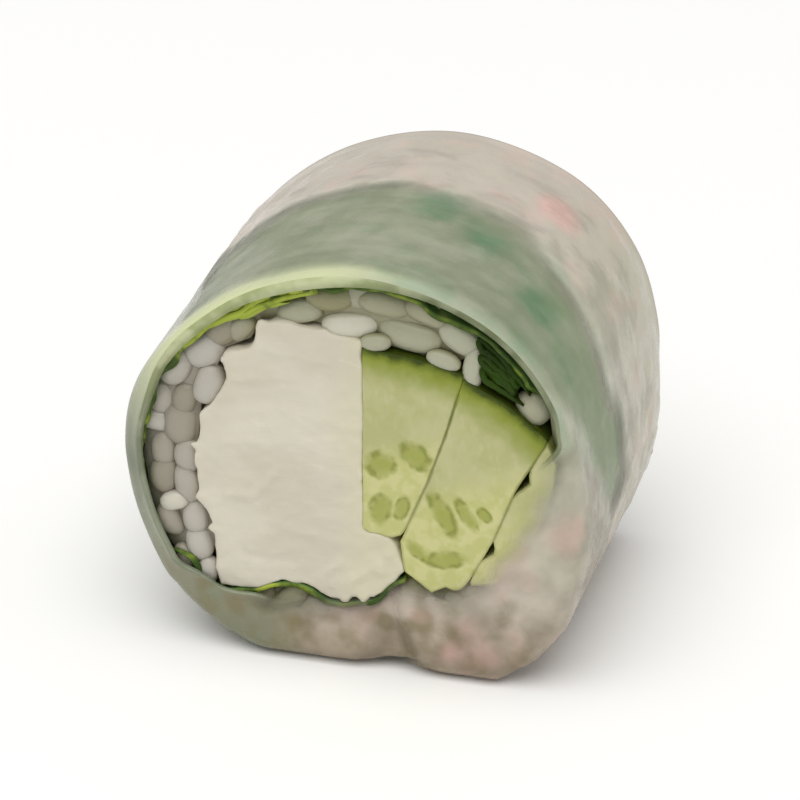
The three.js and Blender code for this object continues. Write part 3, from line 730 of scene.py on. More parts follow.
def cheese_shape():
    """The block of cream cheese: soft, torn at its edges and dragged by the knife."""
    outline = wandering(CHEESE, 0.4, 0.32, 2.4, 12)
    outline[:, 0] = np.minimum(outline[:, 0], np.where(outline[:, 1] > 14.4, 1.38, 9))
    bm = stick(outline, CUT - 0.1, 0.2)
    for x, z, size in CHEESE_CRUMBS:
        squashed = Matrix.Diagonal((size, size * 0.6, size * 0.8, 1))
        for cut in (-CUT, CUT):
            crumb = Matrix.Translation((x, cut * 0.985, z)) @ squashed
            bmesh.ops.create_icosphere(bm, subdivisions=2, radius=1, matrix=crumb)
    bm = remeshed(bm, CHEESE_FACE)
    bmesh.ops.smooth_vert(
        bm, verts=bm.verts, factor=0.4, use_axis_x=True, use_axis_y=True, use_axis_z=True)
    points = shape_of(bm)
    at_cut = smooth(np.abs(points[:, 1]), CUT - 1.4, CUT - 0.4)
    relief = sum(
        height * ripple(points, size, seed)
        for height, size, seed in ((0.12, 3.4, 13), (0.1, 1.3, 14), (0.06, 0.6, 15))
    )
    for start, end, height in CHEESE_DRAGS:
        distance = line_distance(points[:, [0, 2]], start, end)
        relief = relief + height * np.exp(-(distance / DRAG_WIDTH) ** 2) * at_cut
    normals = np.array([vert.normal for vert in bm.verts])
    moved = points + normals * relief[:, None]
    moved[:, 1] = np.clip(moved[:, 1], -CUT - CHEESE_PROUD, CUT + CHEESE_PROUD)
    reshape(bm, moved)
    return bm


STICK_BORDER = 0.32           # how far in from its sides a stick's cut face is darker
CHEESE_SIDE = 1.9             # but not left of here, where it touches the cheese


def cucumber_shape(corners, half_length, seed):
    """A stick of cucumber, with the border of its cut faces marked for the finish."""
    bm = stick(wandering(corners, 0.8, 0.06, 2.4, seed), half_length, 0.07)
    cut_faces = [face for face in bm.faces if len(face.verts) > 4]
    bmesh.ops.inset_individual(bm, faces=cut_faces, thickness=STICK_BORDER, use_even_offset=True)
    middle = {vert for face in cut_faces for vert in face.verts}
    paint(bm, "border", [0 if vert in middle or vert.co.x < CHEESE_SIDE else 1 for vert in bm.verts])
    bmesh.ops.triangulate(bm, faces=cut_faces)
    return bm


# ---------------------------------------------------------------- rice

CORE_CUT = CUT - 1.15
CORE_START = -0.13
CORE_END = 0.845
CORE_DEPTH = PAPER + 0.25
CORE_THIN = 0.02
CORE_TONE = 0.3
CORE_COLUMNS = 200
CORE_ROWS = 44
CORE_LOWER = 3.3              # how much deeper it lies where the leaf turns in under it
LEAF_ROOM = 0.85              # how much deeper the rice lies where the leaf covers it
GRAIN_SHARES = (-0.33, 0, 0.33)
GRAIN_DEPTH = PAPER + 0.2 + GRAIN_WIDTH / 2
GRAIN_BLUNT = 2.9             # 2 would be an oval, more has fuller ends and sides
GRAIN_LOW_SHADE = 0.25           # how much darker a grain is painted low down between its neighbours: painted shade
GRAIN_FLOOR = PAPER + 0.1     # the grains underneath are pressed flat here
TONE_PLAIN = 0.5

# The grains that show in the front cut: (x, z, length, width, angle in degrees, tone, how far out).
MAIN_GRAINS = [
    (5.4, 34.5, 6.6, 3.5, -8, 0.42, 0.5), (8.8, 32.9, 3.4, 1.9, -14, 0.5, 0.6),
    (10.2, 35, 4.8, 3.4, -35, 0.52, 0.35), (11.5, 32.3, 4.4, 2.2, 84, 0.55, 0.75),
    (17.2, 28.9, 3.8, 3.5, -60, 0.42, 1), (-0.2, 34.9, 5.6, 3, 6, 0.85, 0.1),
    (2.4, 33.8, 3, 1.9, 6, 0.45, 0.5),
    (-5.1, 35.9, 4.8, 2.9, 18, 0.42, 0.1), (3.1, 37.5, 5.4, 2.9, -10, 0.35, -0.2),
    (-14.3, 30.6, 4.8, 3.8, 35, 0.66, 0.4), (-13.8, 27.2, 4.4, 3.4, 72, 0.55, 0.35),
    (-17, 28.6, 4.4, 3.2, 62, 0.45, 0.1), (-17, 22.8, 5.2, 4.4, 84, 0.28, 0.5),
    (-18.7, 17.2, 4.2, 3.2, 85, 0.15, 0.2), (-16.2, 16.6, 4.4, 3, 96, 0.42, 0.25),
    (-17.6, 14.8, 3, 2.2, 20, 0.85, 0.45), (-18.2, 12.6, 3.8, 2.9, 110, 0.3, 0.2),
    (-12.1, 33.4, 5.2, 3.6, 42, 0.15, 0.15), (-15.2, 10.4, 3.8, 3, 100, 0.68, 0.25),
    (-14.4, 7.6, 3.2, 2.4, 80, 0.62, 0.25), (-16.6, 8.9, 2.8, 2, 110, 0.3, -0.1),
    (-1.9, 37.4, 5.2, 2.9, 6, 0.05, -0.1), (7.3, 37.2, 5, 2.9, -18, 0.35, -0.1),
    (-16.4, 25.4, 3.6, 2.9, 76, 0.2, -0.2), (-18.6, 19.9, 3.8, 2.9, 92, 0.3, -0.1),
    (-16.3, 19.6, 3.6, 3, 88, 0.4, 0.1), (-15.6, 13.2, 3.8, 3, 96, 0.55, 0.2),
    (-10.7, 33.6, 3.4, 2.6, 50, 0.3, 0), (-9.6, 35.9, 3.6, 2.6, 34, 0.4, -0.1),
]
COVERED_GRAINS = 400
CUT_GRAINS = 140
COVERED_CLEAR = 0.7           # how far the middles of grains keep from the fillings
CUT_CLEAR = 0.9
GRAIN_SPACING = 2.9
FRONT_CUT_SPACING = 2.3
BACK_CUT_SPACING = 1.9
GRAINS_PROUD = 0.45
GRAINS_UNDER = 0.45           # no grain in a cut comes nearer than this to the paper's outside
GRAINS_BEHIND = -0.75         # where no paper covers the cut, the grains under the paper end here
ALL_TRIES = 12000


def inside(points, outline):
    """Which (x, z) points lie inside an outline."""
    x, z = points[:, 0], points[:, 1]
    within = np.zeros(len(points), bool)
    for (x1, z1), (x2, z2) in sides(outline):
        spans = (z1 > z) != (z2 > z)
        level = z2 - z1 if z2 != z1 else 1
        within ^= spans & (x < (x2 - x1) * (z - z1) / level + x1)
    return within


def clear_of(middle, points, margin):
    """Which (x, z) points keep that far out of the fillings."""
    clear = ~inside(points, middle)
    for start, end in sides(middle):
        clear &= line_distance(points, start, end) > margin
    return clear


def spread(points, allowed, apart, most, taken=()):
    """Picks allowed points in turn, each at least that far from those before it."""
    kept, chosen = [np.array(point) for point in taken], []
    for index in np.flatnonzero(allowed):
        if len(chosen) == most:
            break
        if kept and np.linalg.norm(np.array(kept) - points[index], axis=1).min() < apart:
            continue
        kept.append(points[index])
        chosen.append(index)
    return chosen


def covered_grains(rng):
    """Grains pressed against the paper wherever no leaf lies between."""
    draws = np.random.default_rng(SEED)
    place = draws.random(ALL_TRIES)
    along = draws.random(ALL_TRIES) * sheet_length(place)
    skin = sheet_point(place, along, 0 * place)
    centre = sheet_point(place, along, GRAIN_DEPTH + draws.uniform(0, 0.35, ALL_TRIES))
    leaf_from, leaf_to = leaf_reach(place)
    hidden = (skin[:, 1] > leaf_from + 1) & (skin[:, 1] < leaf_to - 1) & (place > 0.19) & (place < 0.8)
    to_rim = HALF - np.abs(skin[:, 1])
    bare_rim = (to_rim < 1.2) & (place > 0.26) & (place < 0.84)
    clear_front, clear_back = (
        clear_of(middle, centre[:, [0, 2]], COVERED_CLEAR) for middle in (MIDDLE_FRONT, MIDDLE_BACK))
    allowed = ~hidden & ~bare_rim & np.where(centre[:, 1] < FOLD_BACK, clear_front, clear_back)
    grains = []
    for index in spread(centre, allowed, GRAIN_SPACING, COVERED_GRAINS):
        outward = Vector(skin[index] - centre[index]).normalized()
        turn = Matrix.Rotation(rng.uniform(0, math.pi), 3, outward)
        grain = {
            "centre": Vector(centre[index]),
            "outward": outward,
            "along": turn @ outward.orthogonal().normalized(),
            "length": GRAIN_LENGTH * rng.uniform(0.85, 1.1),
            "width": GRAIN_WIDTH * rng.uniform(0.9, 1.06),
            "tone": TONE_PLAIN + rng.uniform(-0.3, 0.3),
        }
        bare = 0.22 < place[index] < 0.86
        grains.append(kept_in(grain, GRAINS_BEHIND if bare else GRAINS_PROUD))
    return grains


def kept_in(grain, proud):
    """Moves a grain back along the roll until it stands no further than that out of a cut."""
    lengthwise = abs(grain["along"].y)
    crosswise = math.sqrt(1 - lengthwise**2)
    reach = lengthwise * grain["length"] / 2 + crosswise * grain["width"] * 0.55
    room = CUT + proud - reach
    grain["centre"].y = min(max(grain["centre"].y, -room), room)
    return grain


def cut_grain(x, y, z, length, width, degrees, tone, tilt):
    """A grain lying nearly flat in a cut."""
    angle = math.radians(degrees)
    outward = Vector((0, math.copysign(1, y), 0))
    along = Vector((math.cos(angle), tilt, math.sin(angle))).normalized()
    outward = (outward - along * outward.dot(along)).normalized()
    grain = {
        "centre": Vector((x, y, z)), "outward": outward, "along": along,
        "length": length, "width": width, "tone": tone,
    }
    return kept_in(grain, GRAINS_PROUD)


def cut_grains(rng):
    """Grains in both cuts: the ones that stand out in front, and others behind and between them."""
    grains = []
    for x, z, length, width, degrees, tone, out in MAIN_GRAINS:
        y = -(CUT - width / 2 + out * 0.8)
        grains.append(cut_grain(x, y, z, length, width, degrees, tone, rng.uniform(-0.15, 0.15)))
    draws = np.random.default_rng(SEED + 1)
    cuts = ((-1, MIDDLE_FRONT, 2.5, FRONT_CUT_SPACING), (1, MIDDLE_BACK, 2.1, BACK_CUT_SPACING))
    for side, middle, shallowest, apart in cuts:
        taken = [(grain["centre"].x, grain["centre"].z) for grain in grains if side < 0]
        place = draws.random(ALL_TRIES)
        depth = draws.uniform(shallowest, 9, ALL_TRIES)
        points = under(place, depth)
        clear = clear_of(middle, points, CUT_CLEAR)
        for index in spread(points, clear, apart, CUT_GRAINS, taken):
            room = 2 * (depth[index] - GRAINS_UNDER)
            width = min(room, GRAIN_WIDTH * rng.uniform(0.85, 1.3))
            y = side * (CUT - width / 2 - rng.uniform(0.0, 0.55))
            length = min(room, GRAIN_LENGTH * rng.uniform(0.62, 0.85))
            x, z = points[index]
            angle, tilt = rng.uniform(0, 180), rng.uniform(-0.12, 0.12)
            grains.append(cut_grain(x, y, z, length, width, angle, rng.uniform(0.25, 0.6), tilt))
    return grains


def grain_shape(grain, rng):
    """A plump oval with blunt ends, bent a little."""
    bm = bmesh.new()
    tone_layer = bm.verts.layers.float.new("tone")
    bmesh.ops.create_uvsphere(bm, u_segments=8, v_segments=6, radius=1)
    bend = rng.uniform(-0.12, 0.12)
    along, outward = grain["along"], grain["outward"]
    across = along.cross(outward)
    for vert in bm.verts:
        roundness = sum(abs(part) ** GRAIN_BLUNT for part in vert.co) ** (-1 / GRAIN_BLUNT)
        y, z, x = vert.co * roundness
        lengthwise = x * grain["length"] / 2
        sideways = (y / 2 + bend * x * x) * grain["width"]
        upward = z * grain["width"] * 0.43
        vert.co = grain["centre"] + along * lengthwise + across * sideways + outward * upward
        vert.co.z = max(vert.co.z, GRAIN_FLOOR)
        # Painted shade: each grain is painted darker low down, between its neighbours.
        vert[tone_layer] = grain["tone"] - GRAIN_LOW_SHADE * (1 - min(1, max(0, z * 1.6)))
    return bm


def core_shape():
    """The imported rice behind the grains, round the fillings and open where the leaf comes out."""
    bm = unit_grid(CORE_COLUMNS, CORE_ROWS)
    flat = shape_of(bm)
    place = CORE_START + (CORE_END - CORE_START) * flat[:, 0]
    y = CORE_CUT * (2 * flat[:, 1] - 1)
    depth = CORE_DEPTH + LEAF_ROOM * over_leaf(place, y) + curl_depth(place, y)
    depth = depth + CORE_LOWER * smooth(place, 0.785, 0.845)
    outer = under(place, depth)
    spots = in_roll(outer, y)
    lumps = 0.18 * ripple(spots, 1.5, 16) + 0.12 * ripple(spots, 0.8, 17)
    reshape(bm, in_roll(under(place, depth + lumps), y))
    until = np.where(
        y < FOLD_BACK, first_crossing(outer, MIDDLE_FRONT), first_crossing(outer, MIDDLE_BACK))
    inner = in_roll(outer + (CENTRE - outer) * until[:, None], y)
    inner_of = {tuple(vert.co): point for vert, point in zip(bm.verts, inner)}
    for vert in extruded(bm, bm.faces[:]):
        vert.co = inner_of[tuple(vert.co)]
    bmesh.ops.recalc_face_normals(bm, faces=bm.faces)
    paint(bm, "tone", CORE_TONE + 0.12 * ripple(shape_of(bm), 2.2, 18))
    return bm


def first_crossing(points, middle):
    """How far along the line to the roll's middle each point first meets the fillings."""
    towards = CENTRE - points
    nearest = np.where(inside(points, middle), CORE_THIN, 0.75)
    for start, end in sides(np.array(middle)):
        side, gap = end - start, start - points
        across = towards[:, 0] * side[1] - towards[:, 1] * side[0]
        across = np.where(np.abs(across) < 1e-9, 1e-9, across)
        share = (gap[:, 0] * side[1] - gap[:, 1] * side[0]) / across
        along = (gap[:, 0] * towards[:, 1] - gap[:, 1] * towards[:, 0]) / across
        meets = (along >= 0) & (along <= 1) & (share > 0) & (share < nearest)
        nearest = np.where(meets, share, nearest)
    return np.maximum(nearest, CORE_THIN)


def grains_shape(grains):
    rng = random.Random(SEED)
    return joined(bmesh.new(), *(grain_shape(grain, rng) for grain in grains))


def grain_tree(grains):
    """Finds the grain nearest to a point."""
    tree = KDTree(len(grains) * len(GRAIN_SHARES))
    for index, grain in enumerate(grains):
        for step, share in enumerate(GRAIN_SHARES):
            spot = grain["centre"] + grain["along"] * grain["length"] * share
            tree.insert(spot, index * len(GRAIN_SHARES) + step)
    tree.balance()
    return tree


# ---------------------------------------------------------------- finishes

RIGHT = (1, 0, 0)
BACKWARD = (0, 1, 0)
UPWARD = (0, 0, 1)
SEED_SIDE = (0.35, 0, -0.94)  # across the sticks, from the skin to the seeds


class Term:
    """A value in a finish. Ordinary arithmetic on it adds the Math nodes."""

    def __init__(self, finish, socket):
        self.finish = finish
        self.socket = socket

    def __add__(self, other):
        return self.finish.sum_of("ADD", self, other)

    def __sub__(self, other):
        return self.finish.sum_of("SUBTRACT", self, other)

    def __rsub__(self, other):
        return self.finish.sum_of("SUBTRACT", other, self)

    def __mul__(self, other):
        return self.finish.sum_of("MULTIPLY", self, other)

    __radd__ = __add__
    __rmul__ = __mul__


class Finish:
    """A material, built node by node."""

    def __init__(self, name, **constants):
        self.material = bpy.data.materials.new(name)
        self.material.use_nodes = True
        self.tree = self.material.node_tree
        self.surface = self.tree.nodes["Principled BSDF"]
        for socket, value in constants.items():
            self.surface.inputs[socket.replace("_", " ")].default_value = value
        self.place = self.node("ShaderNodeTexCoord", {}, {}, "Object")

    def node(self, kind, settings, sockets, output=0):
        """Adds a node: its settings, then what goes into its sockets, by name or number."""
        made = self.tree.nodes.new(kind)
        for setting, value in settings.items():
            setattr(made, setting, value)
        for socket, value in sockets.items():
            self.feed(made.inputs[socket], value)
        return Term(self, made.outputs[output])

    def feed(self, socket, value):
        if isinstance(value, Term):
            self.tree.links.new(value.socket, socket)
        elif socket.type == "RGBA":
            socket.default_value = (*value, 1)
        else:
            socket.default_value = value

    def sum_of(self, operation, first, second):
        return self.node("ShaderNodeMath", {"operation": operation}, {0: first, 1: second})

    def speckle(self, size, detail=2.0, stretch=(1, 1, 1), shift=0.0):
        """Noise from 0 to 1 with patches of about that size in mm, longer where stretch is above 1."""
        squeezed = tuple(1 / axis for axis in stretch)
        spot = {"Vector": self.place, "Scale": squeezed, "Location": (shift, shift, 0)}
        placed = self.node("ShaderNodeMapping", {"vector_type": "POINT"}, spot)
        patches = {"Vector": placed, "Scale": 1 / (size * MM), "Detail": detail}
        return self.node("ShaderNodeTexNoise", {}, patches)

    def rise(self, value, low, high):
        """From 0 at low to 1 at high, smoothly."""
        ends = {0: value, 1: low, 2: high}
        return self.node("ShaderNodeMapRange", {"interpolation_type": "SMOOTHSTEP"}, ends)

    def fall(self, value, low, high):
        """From 1 at low to 0 at high, smoothly."""
        return 1 - self.rise(value, low, high)

    def kept(self, name):
        """A number kept at each corner of the mesh."""
        return self.node("ShaderNodeAttribute", {"attribute_name": name}, {}, "Fac")

    def mixed(self, share, first, second):
        """Goes from the first colour to the second."""
        return self.node("ShaderNodeMix", {"data_type": "RGBA"}, {0: share, 6: first, 7: second}, 2)

    def layered(self, colour, *layers):
        """Lays (share, further colour) after another over a colour."""
        for share, further in layers:
            colour = self.mixed(share, colour, further)
        return colour

    def along(self, direction):
        """Distance in mm from the origin along a direction."""
        pair = {0: self.place, 1: direction}
        return self.node("ShaderNodeVectorMath", {"operation": "DOT_PRODUCT"}, pair, "Value") * (1 / MM)

    def lower(self, first, second):
        return self.sum_of("MINIMUM", first, second)

    def bumped(self, height, strength, depth):
        """Small relief: height from 0 to 1 stands for that depth in mm."""
        relief = {"Strength": strength, "Distance": depth * MM, "Height": height}
        self.feed(self.surface.inputs["Normal"], self.node("ShaderNodeBump", {}, relief, "Normal"))

    def put(self, **sockets):
        for name, value in sockets.items():
            self.feed(self.surface.inputs[name.replace("_", " ")], value)
        return self.material


def paper_finish():
    """Wet rice paper: milky, see-through, glossy, with shade painted on it low down, on the left, towards
    the back and in its creases.
    """
    film = Finish("wet_rice_paper", IOR=1.33, Coat_Weight=0.08, Coat_Roughness=0.15)
    cloud = film.speckle(5.5, 3, shift=0.02)
    patches = film.rise(cloud, 0.35, 0.65)
    streaks = film.rise(film.speckle(1.3, 3, stretch=(4, 1, 4)), 0.36, 0.66)
    blush, shade, mint, near_rim = (film.kept(name) for name in ("blush", "shade", "mint", "near_rim"))
    cream = film.mixed(patches, (0.53, 0.545, 0.405), (0.6, 0.6, 0.47))
    rosy = film.mixed(patches, (0.575, 0.51, 0.43), (0.62, 0.55, 0.47))
    # Painted shade: the rosy paper is painted darker towards the roll's back end.
    rosy_back_shaded = film.mixed(patches, (0.5, 0.455, 0.38), (0.545, 0.495, 0.42))
    rosy = film.mixed(film.rise(film.along(BACKWARD), 0, 5), rosy, rosy_back_shaded)
    ragged = 0.5 * film.speckle(1.8, 3, stretch=(1.6, 1, 1.6), shift=0.09)
    spare_greens = film.rise(film.speckle(3.8, 3, shift=0.09), 0.5, 0.66) * (1 - blush)
    spare_greens = spare_greens * film.rise(film.along(RIGHT), -16, 8)
    greens = film.rise(film.kept("green") + ragged, 0.4, 1.1) + 0.35 * spare_greens
    # Painted shade: the paper is painted darker and browner low down, where less light reaches it.
    low_shade = film.fall(film.along(UPWARD) + 3 * cloud, 1, 14)
    # Painted shade at the lower left, darker and greener, where the roll turns down away from the light.
    low_left = low_shade * film.fall(film.along(RIGHT) + 3 * cloud, -8, -1)
    mottles = film.rise(film.speckle(2.4, 3, shift=0.07), 0.42, 0.7)
    crease_shading = film.rise(film.kept("crease_shade") + 0.3 * film.speckle(1.2, 3), 0.15, 0.8)
    spare_pinks = film.rise(film.speckle(4.5, 1.5, shift=0.05), 0.55, 0.7) * blush
    pinks = film.rise(film.kept("pink") + ragged, 0.4, 1.1) + 0.3 * spare_pinks
    colour = film.layered(
        film.mixed(blush, cream, rosy),
        (mint * 0.8, (0.65, 0.7, 0.37)),
        (near_rim * (1 - mint) * 0.7, (0.34, 0.38, 0.26)),
        (film.kept("flank") * blush * 0.8, (0.51, 0.49, 0.375)),
        # painted shade on the left, over the dark leaf beneath
        (shade * (0.7 + 0.3 * patches), (0.2, 0.215, 0.15)),
        (greens * 0.8, (0.2, 0.39, 0.24)),
        # painted shade low down
        (low_shade * 0.85, (0.31, 0.24, 0.16)),
        # painted shade at the lower left
        (low_left, (0.2, 0.215, 0.14)),
        # dark mottles, painted only low down, inside the painted shade
        (mottles * low_shade * 0.6, (0.2, 0.165, 0.075)),
        # painted shade in the creases
        (crease_shading * 0.7, (0.19, 0.15, 0.07)),
        (pinks * 0.75, (0.72, 0.45, 0.4)),
    )
    veil = film.kept("veil") * (0.33 + 0.11 * patches + 0.05 * streaks)
    # the film is thicker where shade is painted on the left
    veil = veil + 0.45 * mint + 0.4 * shade + 0.45 * near_rim
    gloss = 0.26 + 0.16 * film.rise(film.speckle(2.5), 0.4, 0.7)
    film.bumped(film.speckle(1.1, 3, stretch=(2.5, 1, 2.5)), 0.3, 0.14)
    return film.put(Base_Color=colour, Alpha=veil, Roughness=gloss)


def paper_inside_finish():
    """The inner face of the rice paper: hardly seen, but green where it sticks to the leaf."""
    film = Finish("wet_rice_paper_inside", Roughness=0.5, IOR=1.33)
    near_rim = film.kept("near_rim")
    on_leaf = film.kept("on_leaf")
    blotches = film.rise(film.speckle(4.5, 4), 0.38, 0.62)
    leafy = film.layered(
        film.mixed(blotches, (0.13, 0.18, 0.08), (0.2, 0.255, 0.135)),
        (film.rise(film.along(RIGHT), 0, 14) * 0.6, (0.1, 0.165, 0.065)),
        (film.kept("flank") * 0.4, (0.3, 0.42, 0.2)),
    )
    colour = film.layered(
        film.mixed(film.speckle(3), (0.6, 0.58, 0.48), (0.66, 0.62, 0.54)),
        (on_leaf, leafy),
        (near_rim, (0.16, 0.215, 0.07)),
        (film.kept("mint") * 0.8, (0.42, 0.5, 0.2)),
    )
    veil = film.kept("veil") * (0.08 + 0.1 * film.speckle(4)) + 0.9 * near_rim + 0.85 * on_leaf
    return film.put(Base_Color=colour, Alpha=film.lower(veil, 1.0))


def paper_rim_finish():
    """The cut edge of the rice paper, pale green from the leaf behind it, with painted shade on the left.
    """
    rim = Finish("rice_paper_rim", Roughness=0.3, IOR=1.4)
    tint = rim.rise(rim.speckle(3, 2), 0.4, 0.6)
    pale = rim.mixed(tint, (0.5, 0.56, 0.27), (0.58, 0.62, 0.36))
    colour = rim.mixed(rim.kept("mint"), rim.mixed(tint, (0.19, 0.22, 0.11), (0.26, 0.29, 0.17)), pale)
    # Painted shade on the left side of the rim.
    colour = rim.mixed(rim.kept("shade") * 0.8, colour, (0.3, 0.33, 0.24))
    veil = rim.lower(rim.kept("veil"), 1.0) * (0.7 + 0.2 * tint)
    return rim.put(Base_Color=colour, Alpha=veil)


def leaf_edge_finish():
    """The leaf's cut edge: dark olive, bright yellow-green in places."""
    leaf = Finish("lettuce_edge", Roughness=0.4, IOR=1.4, Specular_IOR_Level=0.25)
    patches = leaf.rise(leaf.speckle(2, 3), 0.35, 0.65)
    bright = leaf.rise(leaf.kept("bright") + 0.5 * patches, 0.3, 1.1)
    shade = leaf.mixed(patches, (0.04, 0.075, 0.012), (0.1, 0.16, 0.02))
    return leaf.put(Base_Color=leaf.mixed(bright, shade, (0.37, 0.45, 0.055)))


def leaf_finish(name, dark, mid, pale):
    """Damp lettuce: mottled, with paler veins and margins."""
    leaf = Finish(
        name, Roughness=0.42, IOR=1.4, Specular_IOR_Level=0.12, Subsurface_Weight=0.1,
        Subsurface_Scale=0.001)
    blotches = leaf.rise(leaf.speckle(4.5, 4), 0.38, 0.62)
    grain = leaf.rise(leaf.speckle(1.1, 3, shift=0.03), 0.35, 0.7)
    veins = leaf.rise(leaf.speckle(2.4, 2, stretch=(3.5, 1, 3.5), shift=0.01), 0.6, 0.74)
    edge = leaf.fall(leaf.kept("margin"), 0.1, 2.2)
    pale_parts = leaf.rise(veins + 0.8 * edge, 0.1, 1.3)
    colour = leaf.layered(dark, (blotches, mid), (grain * 0.4, mid), (pale_parts, pale))
    leaf.bumped(leaf.speckle(0.8, 3), 0.35, 0.25)
    return leaf.put(Base_Color=colour)


def rice_finish():
    """Moist cooked rice: waxy, its tone different from grain to grain, and darker low down on each grain as
    painted shade.
    """
    rice = Finish(
        "cooked_rice", IOR=1.4, Subsurface_Weight=0.3, Subsurface_Radius=(1, 1, 0.9),
        Subsurface_Scale=0.0008, Coat_Weight=0.12, Coat_Roughness=0.15)
    tone = rice.kept("tone")
    cloud = rice.speckle(1.6, 2)
    lilac = rice.fall(rice.along(RIGHT) + 3 * cloud, -13, -6)
    dull = rice.mixed(cloud, (0.25, 0.235, 0.12), (0.31, 0.295, 0.17))
    dull = rice.mixed(lilac, dull, (0.315, 0.285, 0.22))
    clear = rice.mixed(lilac, (0.43, 0.435, 0.325), (0.485, 0.455, 0.4))
    white = rice.mixed(cloud, (0.6, 0.58, 0.48), (0.68, 0.65, 0.55))
    colour = rice.mixed(rice.rise(tone, 0.15, 0.6), dull, clear)
    colour = rice.mixed(rice.rise(tone, 0.62, 0.95), colour, white)
    rice.bumped(rice.speckle(0.9, 3), 0.4, 0.2)
    return rice.put(Base_Color=colour, Roughness=0.3 + 0.2 * cloud)


def cheese_finish():
    """Cream cheese: soft, dull, a little darker in places."""
    cheese = Finish(
        "cream_cheese", IOR=1.45, Subsurface_Weight=0.2, Subsurface_Radius=(1, 0.9, 0.7),
        Subsurface_Scale=0.001)
    clouds = cheese.rise(cheese.speckle(6, 3, stretch=(1.6, 1, 1)), 0.35, 0.65)
    warm = cheese.mixed(clouds, (0.61, 0.565, 0.455), (0.68, 0.635, 0.53))
    yellow = cheese.rise(cheese.along(RIGHT) + 2 * clouds, -2.5, 3)
    flecks = cheese.rise(cheese.speckle(1.4, 3, stretch=(2, 1, 1), shift=0.04), 0.62, 0.78)
    colour = cheese.layered(
        warm, (yellow * 0.6, (0.64, 0.61, 0.42)), (flecks * 0.5, (0.75, 0.7, 0.6)))
    cheese.bumped(cheese.speckle(0.9, 4, stretch=(1.8, 1, 1)), 0.5, 0.16)
    return cheese.put(Base_Color=colour, Roughness=0.5 + 0.14 * clouds)


def skin_planes(corners):
    """The flat sides of a cucumber's skin, as directions and how far out each lies."""
    planes = []
    for (x1, z1), (x2, z2) in zip(corners, corners[1:]):
        length = math.hypot(x2 - x1, z2 - z1)
        direction = ((z1 - z2) / length, 0, (x2 - x1) / length)
        planes.append((direction, direction[0] * x1 + direction[2] * z1))
    return planes


def cucumber_finish(name, skin, seed_bed, seeds):
    """Cucumber: pale wet flesh, greener under its dark skin and round its seeds."""
    flesh = Finish(
        name, IOR=1.38, Specular_IOR_Level=0.25, Subsurface_Weight=0.3, Subsurface_Radius=(0.9, 1, 0.5),
        Subsurface_Scale=0.0012)
    clouds = flesh.rise(flesh.speckle(3.4, 3), 0.35, 0.65)
    fibres = flesh.speckle(0.9, 3, stretch=(1, 3, 2.2), shift=0.08)
    x, z, reach = seed_bed
    start = SEED_SIDE[0] * x + SEED_SIDE[2] * z
    ragged_start = flesh.along(SEED_SIDE) + 2.2 * flesh.speckle(2.2, 2, shift=0.02)
    bed = flesh.rise(ragged_start, start, start + reach)
    jelly = flesh.rise(flesh.speckle(1.5, 2, shift=0.06), 0.4, 0.6)
    colour = flesh.layered(
        flesh.mixed(clouds, (0.455, 0.46, 0.215), (0.515, 0.51, 0.27)),
        (flesh.rise(fibres, 0.5, 0.75) * 0.4, (0.58, 0.57, 0.34)),
        (bed, flesh.mixed(jelly, (0.6, 0.59, 0.28), (0.53, 0.535, 0.22))),
    )
    ragged = 1.4 * flesh.speckle(1.1, 2) - 0.7
    broken = flesh.rise(flesh.speckle(1.6, 2, shift=0.05), 0.42, 0.62)
    for seed in seeds:
        off = seed_distance(flesh, *seed) + ragged
        inner = flesh.fall(off, 0, 2.1)
        rim = flesh.rise(off, 0.2, 0.9) * flesh.fall(off, 0.9, 2) * broken
        colour = flesh.layered(
            colour, (inner * 0.75, (0.31, 0.34, 0.06)), (rim * 0.7, (0.2, 0.23, 0.03)))
    border = flesh.rise(flesh.kept("border") + 0.5 * flesh.speckle(1.2, 3, shift=0.11), 0.55, 1.25)
    border = border * (0.3 + 0.6 * flesh.rise(flesh.along(UPWARD), 12, 30))
    colour = flesh.mixed(border, colour, (0.13, 0.15, 0.018))
    if skin:
        (first, first_out), *others = skin_planes(skin)
        depth = first_out - flesh.along(first)
        for direction, out in others:
            depth = flesh.lower(depth, out - flesh.along(direction))
        wobble = flesh.speckle(1.4, 3)
        skin_edge = depth + 1.2 * wobble
        colour = flesh.layered(
            colour,
            (flesh.fall(depth + 1.4 * wobble, 1.4, 4.8), (0.25, 0.295, 0.04)),
            (flesh.fall(skin_edge, 0.8, 1.9), (0.115, 0.15, 0.012)),
            (flesh.fall(skin_edge, 0.6, 1.2), (0.04, 0.058, 0.005)),
        )
    flesh.bumped(flesh.speckle(0.9, 3), 0.3, 0.14)
    return flesh.put(Base_Color=colour, Roughness=0.24 + 0.16 * clouds)


def seed_distance(flesh, x, z, long, wide, degrees):
    """0 in the middle of a seed in the cut, 1 at its rim."""
    angle = math.radians(degrees)
    along = (math.cos(angle), 0, math.sin(angle))
    across = (-math.sin(angle), 0, math.cos(angle))
    ahead = (flesh.along(along) - (along[0] * x + along[2] * z)) * (1 / long)
    aside = (flesh.along(across) - (across[0] * x + across[2] * z)) * (1 / wide)
    return ahead * ahead + aside * aside


def floor_finish():
    floor = Finish("pale_floor", Roughness=0.8)
    colour = floor.mixed(floor.speckle(300, 1), (0.95, 0.95, 0.945), (0.96, 0.96, 0.955))
    return floor.put(Base_Color=colour)


# ---------------------------------------------------------------- the slice

